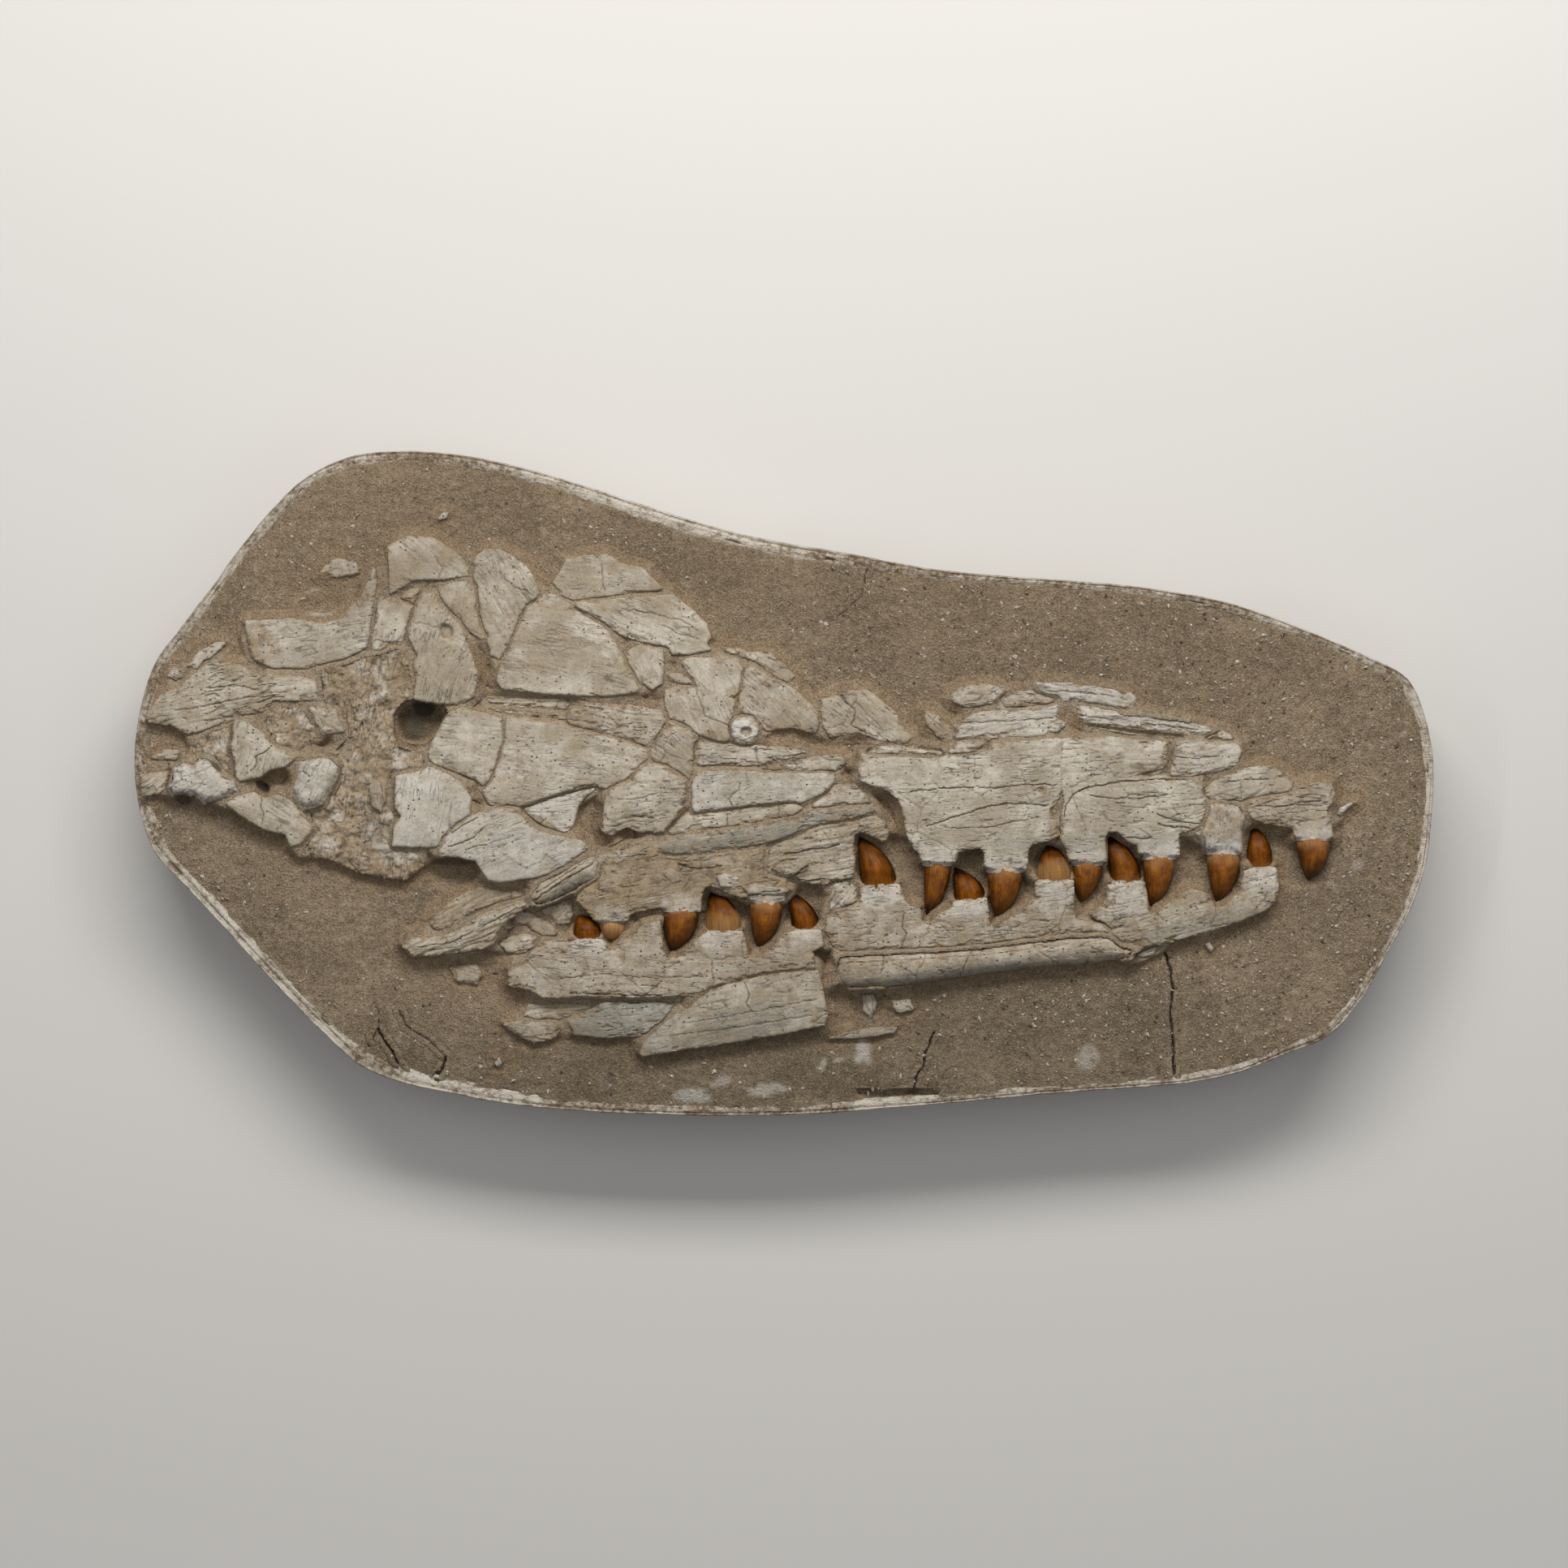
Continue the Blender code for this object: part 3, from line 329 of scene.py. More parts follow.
@dataclass(frozen=True)
class Crack:
    """A line cut into the surface: its width, its depth and the points that it passes."""

    width: float
    depth: float
    points: tuple[Point, ...]

    def near(self, x: Array, y: Array, reach: float) -> Array:
        """Which of the places can be within a reach of the line."""
        run = np.asarray(self.points)
        low, high = run.min(axis=0) - reach, run.max(axis=0) + reach
        return (x > low[0]) & (x < high[0]) & (y > low[1]) & (y < high[1])

    def gap(self, x: Array, y: Array, wander: float = 0.9) -> Array:
        """Distance from places to the line, which wanders to either side in small zigzags."""
        x = x + wander * rough(x, y, 5.0, 71, 3, 0.6)
        y = y + wander * rough(x, y, 5.0, 75, 3, 0.6)
        places, run = np.stack([x, y], axis=1), np.asarray(self.points, float)
        best = np.full(len(places), 1e9)
        for a, b in zip(run, run[1:]):
            step = b - a
            share = np.clip(((places - a) @ step) / (step @ step), 0, 1)
            best = np.minimum(best, np.linalg.norm(places - a - share[:, None] * step, axis=1))
        return best


@dataclass(frozen=True)
class Patch:
    """An oval area of another tint or level, with an uneven border."""

    tint: Tint
    centre: Point
    reach: Point
    amount: float = 1.0
    rise: float = 0.0
    turn: float = 0.0

    def share(self, x: Array, y: Array) -> Array:
        """How much of the patch a place gets: 1 in the middle, 0 outside the oval."""
        c, s = math.cos(math.radians(self.turn)), math.sin(math.radians(self.turn))
        dx, dy = x - self.centre[0], y - self.centre[1]
        u, v = (dx * c + dy * s) / self.reach[0], (dy * c - dx * s) / self.reach[1]
        far = np.hypot(u, v)
        if far.min() > 1.6:
            return np.zeros_like(x)
        return 1 - band(far + 0.35 * rough(x, y, 7.0, 131, 3), 0.55, 1.1)


def pairs(run: list[float] | tuple[float, ...]) -> tuple[Point, ...]:
    """Points from a run of X, Y, X, Y and so on."""
    return tuple(zip(run[::2], run[1::2]))


def cracks(width: float, depth: float, runs: list[tuple[float, ...]]) -> list[Crack]:
    """Cracks of one width and depth, each a run of points."""
    return [Crack(width, depth, pairs(run)) for run in runs]


CRACKS = [*cracks(0.3, 0.3, [
    (-129, -14.2, -118, -13.8, -106, -14.2),
]), *cracks(0.3, 0.5, [
    (93.5, 14, 93.3, 8, 94, 0), (-18.5, 5, -18, 1),
]), *cracks(0.4, 0.4, [
    (-50, -118, -26, -114, 0, -109, 16, -106),
]), *cracks(0.4, 0.5, [
    (-58, -36.8, -47, -38.4, -36, -37.6), (5, 10.5, 7, 7.5),
    (-97.5, -0.6, -108, -4.4, -120, -8.2, -128, -10), (-82, -7.5, -74, -7.8, -68, -6.4, -62, -4.5),
    (30, -88, 60, -86.5, 100, -83.6, 140, -78.6), (-110, -96, -90, -93.4, -64, -95.5, -40, -94.8),
    (-137, 100, -132, 96, -126, 95), (-80, 86, -66, 84, -50, 80, -42, 75), (-60, 78, -50, 73, -42, 71),
]), *cracks(0.4, 0.6, [
    (82, -22, 100, -21.5, 110, -19.5, 125, -16.5), (-89.8, 108.5, -89.4, 100, -88.2, 94.8),
    (-43.5, 47, -41, 40, -39, 33, -28, 29), (-21.7, 0.3, -22.5, -3, -27, -7.3, -25.5, -11.5),
    (-8, 13, 2, 13.5, 10, 14.8), (-12, 17, -4, 16.6, 4, 17), (-158, -33, -150, -30.5, -146, -30),
    (-75, -15.8, -66, -16.6, -58, -15.6), (-172, 112, -168, 106, -170, 101),
]), *cracks(0.4, 0.7, [
    (58.5, -64, 58, -71, 60, -74, 57.5, -81), (48.5, -83, 49.5, -87, 47.5, -93),
    (92, -82, 90, -86, 88, -91), (-19, -98, -17, -104, -18.5, -108, -16, -112),
    (-13.8, 18, -13.5, 14, -12.4, 10), (-28.5, -15, -27.2, -19.5, -28, -22, -24.5, -26),
]), *cracks(0.5, 0.5, [
    (-56, -124, -34, -121.4, -8, -117.4, 14, -113.6),
]), *cracks(0.5, 0.6, [
    (-174, -82, -160, -80, -148, -76, -140, -71), (192.5, 13, 203, 12.2, 214, 13.6),
    (146, 33.4, 166, 31.2, 186, 28.6, 204, 26.6), (130, 45.6, 146, 45, 162, 42.6),
    (88, 30, 104, 30.4, 120, 31.4, 132, 32), (-300, 36, -284, 38.4, -266, 42, -248, 43.4),
    (-284, 47, -270, 48.4, -258, 46),
]), *cracks(0.5, 0.7, [
    (28, 44, 31, 39, 35, 36, 34.5, 31, 33, 28.5, 40, 25, 46, 23), (-70, -99, -63, -99.4),
    (-6, -42, -3.4, -39.5, 0, -37.8, 6, -37.2), (-20, -56, -14, -54.5, -10, -53, -2, -53),
    (-163, -24, -156, -19.8, -150, -16.6), (-180, -80.4, -165, -78.5, -152, -72.5, -140, -66, -131, -61),
    (-256, -5, -257, -11, -255.5, -16, -256.5, -20), (-236, 6, -232, 3, -230.5, 7, -227, 10),
    (150, -6, 162, -7.4, 176, -7, 188, -5.6), (216, 0.4, 226, 1.6, 238, 2.4),
    (232, -11, 244, -11.4, 254, -9.4, 264, -8.6),
]), *cracks(0.5, 0.8, [
    (62, -4, 78, -2.3, 92, -1.6, 104, -2, 120, -0.4, 134, -0.7),
    (-105, -103, -90, -103.4, -75, -104.2, -60, -104), (1, -46.6, 6, -47, 11, -48, 20, -47),
    (-122, -54, -112, -47.5, -103, -41.5, -96, -37.5), (163, -9.5, 167, -9.7),
]), *cracks(0.5, 0.9, [
    (137.6, -16, 138.4, -11, 141.8, -5.2, 150, -1.6, 163, 0.5, 184.5, 2, 198.7, 1.6),
    (-252.5, 17.5, -256, 14.5, -259.2, 13, -258.6, 9.5, -262, 6.5),
]), *cracks(0.6, 0.8, [
    (-10, -31, -8.5, -33, -7.6, -35), (-165, -31, -158, -29, -152, -26, -148, -22),
]), *cracks(0.6, 0.9, [
    (70, -20.8, 80, -17.8, 90, -14.5, 100, -11.3, 110, -9.8, 129, -10.4),
    (168, -26.5, 175, -27.2, 180, -26.5), (184, -20, 192, -21.4, 199, -22),
]), *cracks(0.7, 0.9, [
    (-52, -39.6, -47, -41.2, -42, -41.6, -36, -41.4, -31, -40.4), (183, -15, 190, -18, 197, -19, 205, -20),
]), *cracks(0.8, 1.0, [
    (-10, -46, 0, -46, 5, -45.5, 9, -42, 11.5, -40.5), (-122, -57, -114, -51.5, -104, -45, -94, -39.5),
]), *cracks(0.9, 1.0, [
    (0, -34.8, 6, -34, 14, -32.3, 20, -32, 27, -30),
])]

ROCK_CRACKS = [Crack(width, depth, pairs(run)) for width, depth, *run in (
    (1.1, 2.2, 188, -83.6, 190.4, -92, 191.6, -101.6, 190.6, -113, 191.6, -125.6, 192.4, -151.6),
    (1.0, 2.4, -200, -120.8, -196, -128.5, -193.4, -131.6, -190.4, -138, -187.5, -142.4),
    (0.6, 0.9, -189.8, -111.6, -186.7, -119.3, -174.4, -127, -166.7, -134.7),
    (1.1, 2.4, -166.7, -134.7, -167.4, -139, -171.3, -145.5),
    (0.9, 1.8, 74, -122.4, 69.6, -133.6, 68.6, -139, 65, -145, 63.6, -151.6),
    (1.0, 1.6, 38, -152, 50, -154.5, 63, -151, 74, -154),
    (0.5, 0.8, 40.8, 106, 39.6, 98, 37.6, 92, 26.8, 82),
    (0.6, 0.8, -202, -108, -199.4, -114, -200, -120.8, -203, -126),
)]


def patches(tint: Tint, areas: list[tuple[float, ...]]) -> list[Patch]:
    """Patches of one tint; an area is its centre, its two reaches, and its amount, rise and turn."""
    return [Patch(tint, area[:2], area[2:4], *area[4:]) for area in areas]


PATCHES = [*patches(Tint.STAIN, [
    (-225, 95, 26, 16), (-262, 68, 16, 14, 0.7), (-131, -12.6, 8, 2.4), (134, -20, 4.6, 12, 0.9),
    (127, -3, 3, 2.4, 0.8), (-33, 22.6, 9, 3, 1.0, 0, -20), (2, 24, 14, 4, 0.8), (188, 12, 3, 9, 0.8),
    (-256, 34, 8, 4, 1.0, 0, 10), (-243, 24, 7, 6, 0.6), (-204, -12, 14, 16, 0.5), (-200, 30, 16, 18, 0.5),
    (-46, -46, 22, 6, 0.5), (-60, -54, 22, 8, 0.5), (22, -26, 18, 6, 0.4), (-84, -95, 30, 8, 0.25),
    (-172, -78, 10, 5, 0.5), (179, 8, 10, 3, 0.8), (-18.6, 25.5, 3.4, 2.8, 1.0, -1.8),
    (-209, 15, 7, 6, 0.9), (-212, -12, 6, 7, 0.95, -0.5), (-105, 41, 46, 1.9, 0.9, 0, -4),
    (-122, 32.2, 27, 2, 0.9, 0, -8), (-153, -3, 11, 3, 0.9, 0, -50), (-119, -19, 14, 2.5, 0.8, 0, -30),
    (80, 88, 235, 38, 0.35, 0, -13), (-190, 126, 110, 44, 0.3, 0, 10), (-163, -46, 15, 9, 0.7),
    (-166, 75, 4, 4, 0.8, -2.2),
]), *patches(Tint.CHALK, [
    (216, -16, 8, 6, 0.7), (283, -40, 4, 3, 0.5, 0, 40), (47.4, -57.6, 11, 5.6, 0.6),
    (91.9, -62, 9, 3.6, 0.6), (132.9, -58, 11, 10, 0.6), (171, -59, 11, 9, 0.6), (234.3, -49.4, 9, 7, 0.6),
    (270, -50, 4, 1.3, 0.5, 0, -30), (-287, 3, 12, 8, 0.35), (38.8, -132.6, 5.4, 7.4),
    (18.7, -139.2, 2, 5, 0.8, 0, -20), (26.9, -136.3, 4, 1.8, 0.7, 0, 20),
    (149.8, -135.1, 6, 8, 0.7, 0, -30), (-45, -153.6, 11, 4.4), (-30.6, -147, 6, 3, 0.6, 0, 20),
    (-9, -151, 12, 4, 0.8, 0, 6), (118, 40, 14, 7, 0.2), (-208, 56, 7, 4, 0.6, 0.5),
    (-196.6, 42.4, 4, 4, 0.6, 0.6), (-224, -10, 3, 4.5, 0.7, 0.8), (-190, -36, 15, 3.6, 0.5),
    (-229, 83.4, 8, 1.2, 0.5, 0.3), (-233, 95, 5, 1.1, 0.35, 0.2, 12), (-85, -35.4, 14, 2.2, 0.4, 0, 14),
    (-29, -38.4, 15, 2.2, 0.4, 0, 4), (-28.5, -47.6, 6.4, 3.8, 0.5), (-10, -51.4, 10, 2.6, 0.4, 0, 4),
    (-66, -57, 8, 1.6, 0.35, 0, 10), (-178, -148, 15, 3, 0.8, 0.3, -20),
]), *patches(Tint.GREY, [
    (-106, -50, 13, 3.6, 0.8, 0, 31), (96, -94, 78, 5.5, 1.0, 0, 4.6), (204, -69, 42, 4.5, 0.6, 0, 13.8),
    (150, -29, 62, 5, 0.4), (214, -29, 12, 6, 0.6), (-124, -27, 20, 8, 0.3),
    (-24, -29, 36, 5.5, 0.8, 0, 10), (-36, 8, 20, 10, 0.2), (-16, -116, 34, 9, 0.5, 0, 8),
    (-80, -115, 24, 8, 0.22), (-217, 22, 6, 10, 0.5, -0.6), (-200, -24, 8, 9, 0.6, -0.4),
]), *patches(Tint.DARK, [
    # Painted shade in the opening of the skull roof and in the small holes and pits that these patches sink,
    # a painted shadow line under the bone's edge above the cheek hollow, and wide painted shade toward the
    # rock's far and near edges
    (-178, 37, 7.5, 5, 0.95), (80, 88, 235, 38, 0.15, 0, -13), (-190, 126, 110, 44, 0.12, 0, 10),
    (-40, -138, 190, 26, 0.22), (120, -122, 120, 32, 0.2), (-164, -38.6, 12, 2.2, 0.5),
    (-171.4, -143.6, 1.6, 3, 1.0, -2.5, -30), (-136, -153, 5.5, 1.9, 1.0, -3.5, -12),
    (-123, -155.6, 3, 2.2, 1.0, -3.5), (-296, -7.4, 4.6, 3.6, 0.55, -2.4),
    (-256.5, -1.6, 5.4, 2.4, 0.8, -4.5, -42), (-279, 8.5, 4.6, 1.3, 0.7, -2.4, -48),
])]

# Where the plaster's rim is whitest
RIM_WHITE = patches(Tint.CHALK, [
    (-60, 122, 112, 26, 1.0, 0, -17), (-255, 108, 70, 26, 0.55, 0, 47), (-262, -88, 84, 26, 0.75, 0, -46),
    (-158, -153, 42, 12, 1.0, 0, -14), (52, -158, 26, 10, 0.9), (318, -30, 24, 100, 0.8),
    (190, -150, 60, 12, 0.4, 0, 16),
])

# Hollows of the rock: between the jaws, the opening in the skull roof and the cheek
MOUTH = Outline.through(pairs((
    -106, -60, -92, -58, -60, -52, -36, -46, -18, -49, 22, -47, 36, -22, 50, -26, 66, -28, 90, -27,
    124, -24, 158, -19, 186, -28, 206, -27, 230, -17, 254, -23, 271, -24, 264, -52, 240, -48, 226, -61,
    198, -65, 176, -66, 144, -69, 100, -72, 66, -70, 22, -74, 12, -86, -20, -88, -56, -89, -88, -82,
    -106, -80,
)))
FORAMEN = Outline.through(pairs((
    -191, 34, -186.8, 38.4, -181.4, 39.6, -173.7, 39.6, -168.6, 36.8, -167.4, 33.2, -170.2, 28.0,
    -173.4, 23.4, -176.6, 20.6, -183, 19.8, -188.4, 21.7, -191, 26.3,
)))
CHEEK_HOLLOW = Outline.through(pairs((
    -177, -38.5, -166, -37.5, -154, -39, -149.5, -46, -154, -51, -166, -52, -175, -46,
)))


# ---- Teeth, sizes ----


@dataclass(frozen=True)
class Crown:
    """One tooth: its jaw node, the two ends of its base line, its tip and its enamel.

    The pale share is how much of the crown, from the base, has lost its amber colour, the dark share how
    dark its tip is and how strong the painted shade along its flanks, and the bulge how far its edges bend,
    over its width.
    """

    jaw: str
    rear: Point
    front: Point
    tip: Point
    pale: float = 0.12
    dark: float = 0.5
    bulge: float = 0.12

    @property
    def middle(self) -> Array:
        """Middle of the base line."""
        return 0.5 * (np.array(self.rear) + np.array(self.front))

    @property
    def width(self) -> float:
        """Length of the base line."""
        return float(np.linalg.norm(np.array(self.front) - np.array(self.rear)))

    def inside_jaw(self, x: Array, y: Array) -> tuple[Array, Array]:
        """Distance behind the base line, towards the root, and to the side of the root's axis.

        The root's axis is the crown's, turned towards Y.
        """
        axis = (np.array(self.tip) - self.middle) * np.array([0.35, 1.0])
        axis = axis / np.linalg.norm(axis)
        dx, dy = x - self.middle[0], y - self.middle[1]
        return -(dx * axis[0] + dy * axis[1]), dx * axis[1] - dy * axis[0]


CROWNS = [
    Crown("dentary_rear", (-103.6, -77), (-90.2, -76), (-101.4, -63.2), 0.05, 0.5),
    Crown("maxilla_rear", (-91, -67.6), (-78, -67.4), (-84.7, -79), 0.75, 0.2),
    Crown("maxilla_rear", (-59.2, -62), (-42.2, -61.8), (-55.6, -84), 0.12, 0.9),
    Crown("dentary_rear", (-38.2, -73), (-21.2, -72.6), (-35.8, -52), 0.34, 1.0),
    Crown("maxilla_rear", (-16.8, -57.6), (-0.8, -57.4), (-13, -82), 0.2, 0.8),
    Crown("dentary_rear", (4, -72.4), (17.4, -71.8), (1.8, -52.4), 0.04, 1.2),
    Crown("maxilla_mid", (69, -38.4), (82, -38.2), (70.2, -66), 0.1, 0.9),
    Crown("dentary_mid", (38, -50.8), (55.2, -51), (36.6, -25.5), 0.04, 0.7),
    Crown("maxilla_mid", (100.4, -41.8), (117.2, -41.6), (104.5, -67), 0.16, 0.6),
    Crown("dentary_mid", (84, -58), (99, -57.4), (84.2, -41), 0.02, 1.2),
    Crown("maxilla_front", (142, -38.4), (156.6, -38.2), (146, -59), 0.12, 0.5),
    Crown("dentary_mid", (124.6, -48.2), (141.4, -48.2), (130.2, -29), 0.42, 0.9),
    Crown("maxilla_front", (177, -35.2), (192.4, -35), (180.6, -62), 0.2, 0.6),
    Crown("dentary_front", (160.8, -49), (176, -48.8), (158.8, -24.6), 0.14, 1.1),
    Crown("premaxilla_socket", (208.2, -33.8), (224.6, -33.8), (213.5, -59.4), 0.2, 0.7),
    Crown("dentary_front", (228, -42), (240.2, -41.8), (231.6, -20.6), 0.08, 0.6, 0.2),
    Crown("premaxilla_lower", (252.2, -26.4), (268.6, -26.6), (258.6, -48.2), 0.24, 0.8),
]


# ---- Bones, looks ----


@dataclass(frozen=True)
class BoneLook:
    """How one bone is shaped and coloured.

    Doming in millimetres, share of stain, grain direction in degrees, strength of the grain
    ridges, raggedness of the edge and growth into the gaps in millimetres, shares of chalk and
    grey, build, share of the surface that has flaked off, and strength of the breaks across it.
    """

    swell: float = 0.8
    stain: float = 0.12
    grain: float | None = None
    ridges: float = 1.0
    fray: float = 0.5
    grow: float = 1.2
    chalk: float = 0.0
    grey: float = 0.0
    build: Build = PLATE
    flaked: float = 0.35
    breaks: float = 0.5


def smooth(*shape: float, **rest: float | Build) -> BoneLook:
    """A look with few flakes and breaks."""
    return BoneLook(*shape, flaked=0.12, breaks=0.3, **rest)


def flaky(*shape: float, **rest: float | Build) -> BoneLook:
    """A look with the usual flakes and breaks."""
    return BoneLook(*shape, **rest)


LOOKS = {
    "squamosal_plate": smooth(0.6, 0.15, 10, grow=0.7, grey=0.15),
    "quadrate_fan": flaky(0.8, 0.2, 12, 2.2, 0.7),
    "quadrate_knob": flaky(2.0, 0.1, 20, 1.4, 1.3, chalk=0.45, grey=0.12, build=BOSS),
    "quadrate_core": flaky(1.0, 0.4, fray=0.8, grow=2.0, build=RUBBLE),
    "pterygoid_wedge": smooth(1.0, 0.1, 70, 0.6),
    "otic_plate_lower": smooth(1.0, 0.15, -25, 0.7),
    "otic_boss": smooth(1.8, 0.0, 60, 0.7, chalk=0.45, grey=0.1, build=BOSS),
    "otic_plate_upper": flaky(1.6, 0.4, 60, 1.4, 1.3, 2.0, build=RUBBLE),
    "braincase_block": flaky(1.4, 0.62, 80, 1.4, 1.2, 1.8, build=RUBBLE),
    "supratemporal_outer": smooth(0.6, 0.2, -35, grow=0.4),
    "supratemporal_inner": smooth(0.6, 0.34, 60, grow=2.4),
    "parietal_far": flaky(1.2, 0.3, 70, 1.5, 0.6, 2.2),
    "postfrontal_far": smooth(0.6, 0.22, -60, grow=1.8),
    "frontal_far": smooth(0.7, 0.1, -12, 0.8, grow=1.9),
    "prefrontal_far_outer": smooth(0.5, 0.12, -6),
    "prefrontal_far_inner": smooth(0.6, 0.0, -22),
    "frontal_far_front": smooth(0.5, 0.15),
    "nasal_block": smooth(0.5, 0.1, -60, grow=1.6),
    "lacrimal_plate": flaky(0.6, 0.2, -45, 1.4, grow=1.7),
    "lacrimal_strip": flaky(0.3, 0.25, ridges=1.4),
    "ring_boss": flaky(0.8, 0.1, 0, 0.4, 0.9, chalk=0.6),
    "nasal_strip_outer": flaky(0.4, 0.0, -2, 1.6, 0.5, 1.5, chalk=0.15),
    "nasal_strip_inner": flaky(0.3, 0.2, 6, 1.6, 0.5, 1.7),
    "frontal_tip": flaky(0.8, 0.45, -40, 1.4, grow=2.0),
    "frontal_midline": flaky(0.5, 0.3, -5, 1.6, grow=2.0),
    "frontal_near_rear": smooth(0.8, 0.16, -4, 0.6, grow=1.6),
    "frontal_near_front": smooth(0.8, 0.05, -3, 0.5, grow=2.4),
    "postfrontal_near": smooth(0.4, 0.0, 2, 0.5, chalk=0.7),
    "parietal_near": smooth(1.3, 0.0, 80, 0.5, chalk=0.35),
    "postorbital_near": smooth(1.5, 0.0, 20, 0.7, chalk=0.55),
    "prefrontal_near": flaky(1.1, 0.24, 8, 1.1, grow=1.8),
    "jugal_strut": flaky(1.4, 0.35, 33, 1.6, build=ROD),
    "jugal_splint": flaky(1.2, 0.4, 24, 1.2, 0.7, build=SPLINT),
    "jugal_plate": flaky(0.4, 0.38, 22, 0.8, 0.8, 1.8, build=SPLINT),
    "dentary_rear": flaky(0.6, 0.56, -3, 1.3),
    "splenial_rear": smooth(0.9, 0.42, 9, 1.1, 0.5, 1.6, grey=0.1),
    "angular_plate": flaky(0.7, 0.15, 4, 1.6, 0.7, grey=0.12),
    "angular_tip": flaky(0.5, 0.4, 0, fray=0.7),
    "dentary_mid": flaky(0.6, 0.58, 4, 1.2),
    "splenial_bar": flaky(1.2, 0.58, 5, 1.0, 0.35, build=ROD),
    "dentary_front": flaky(0.7, 0.48, 14, 1.3, 0.5, 1.7),
    "nasal_near": smooth(0.8, 0.3, 0, 0.5, grey=0.1),
    "nasal_scale": smooth(0.6, 0.7, 6, 0.7, grow=1.6),
    "maxilla_strip": flaky(0.5, 0.0, 7, 1.2, 0.5, 2.4),
    "palatine_rod": flaky(1.2, 0.45, 9, 1.2, 0.5, 2.0, grey=0.2),
    "maxilla_rear": flaky(0.6, 0.75, 8, 1.8, 0.6),
    "maxilla_fibrous": flaky(0.5, 0.34, 10, 0.9, 0.6, 1.6, build=SPLINT),
    "maxilla_mid": flaky(0.7, 0.08, 3, 1.1, 0.4, 2.4),
    "maxilla_front": flaky(0.7, 0.1, 1, 1.3, 0.5, 2.4),
    "snout_plate": flaky(0.7, 0.0, 5, chalk=0.25),
    "premaxilla_upper": flaky(0.6, 0.0, 8, 1.3, 0.6, 2.2, chalk=0.12),
    "premaxilla_lower": flaky(0.8, 0.62, 4, 1.6, 0.8, 1.7),
    "premaxilla_socket": flaky(0.9, 0.75, 80, build=BOSS),
    "snout_splint_rear": flaky(0.5, 0.45, grow=1.5),
    "snout_splint_outer": flaky(0.4, 0.0, ridges=0.6, fray=0.5, grow=1.6, chalk=0.75, build=SPLINT),
    "snout_splint_inner": flaky(0.5, 0.0, ridges=0.55, fray=0.5, grow=1.6, chalk=0.65, build=SPLINT),
    "snout_splint_bundle": flaky(0.4, 0.0, ridges=1.0, fray=0.5, grow=1.6, chalk=0.55, build=SPLINT),
    "nasal_front": flaky(0.5, 0.0, -35, 1.4, 0.7, chalk=0.05),
}


@dataclass(frozen=True)
class ChipSpec:
    """A loose fragment: its height above the rock, its outline and its look."""

    name: str
    rise: float
    outline: tuple[Point, ...]
    look: BoneLook = BoneLook()


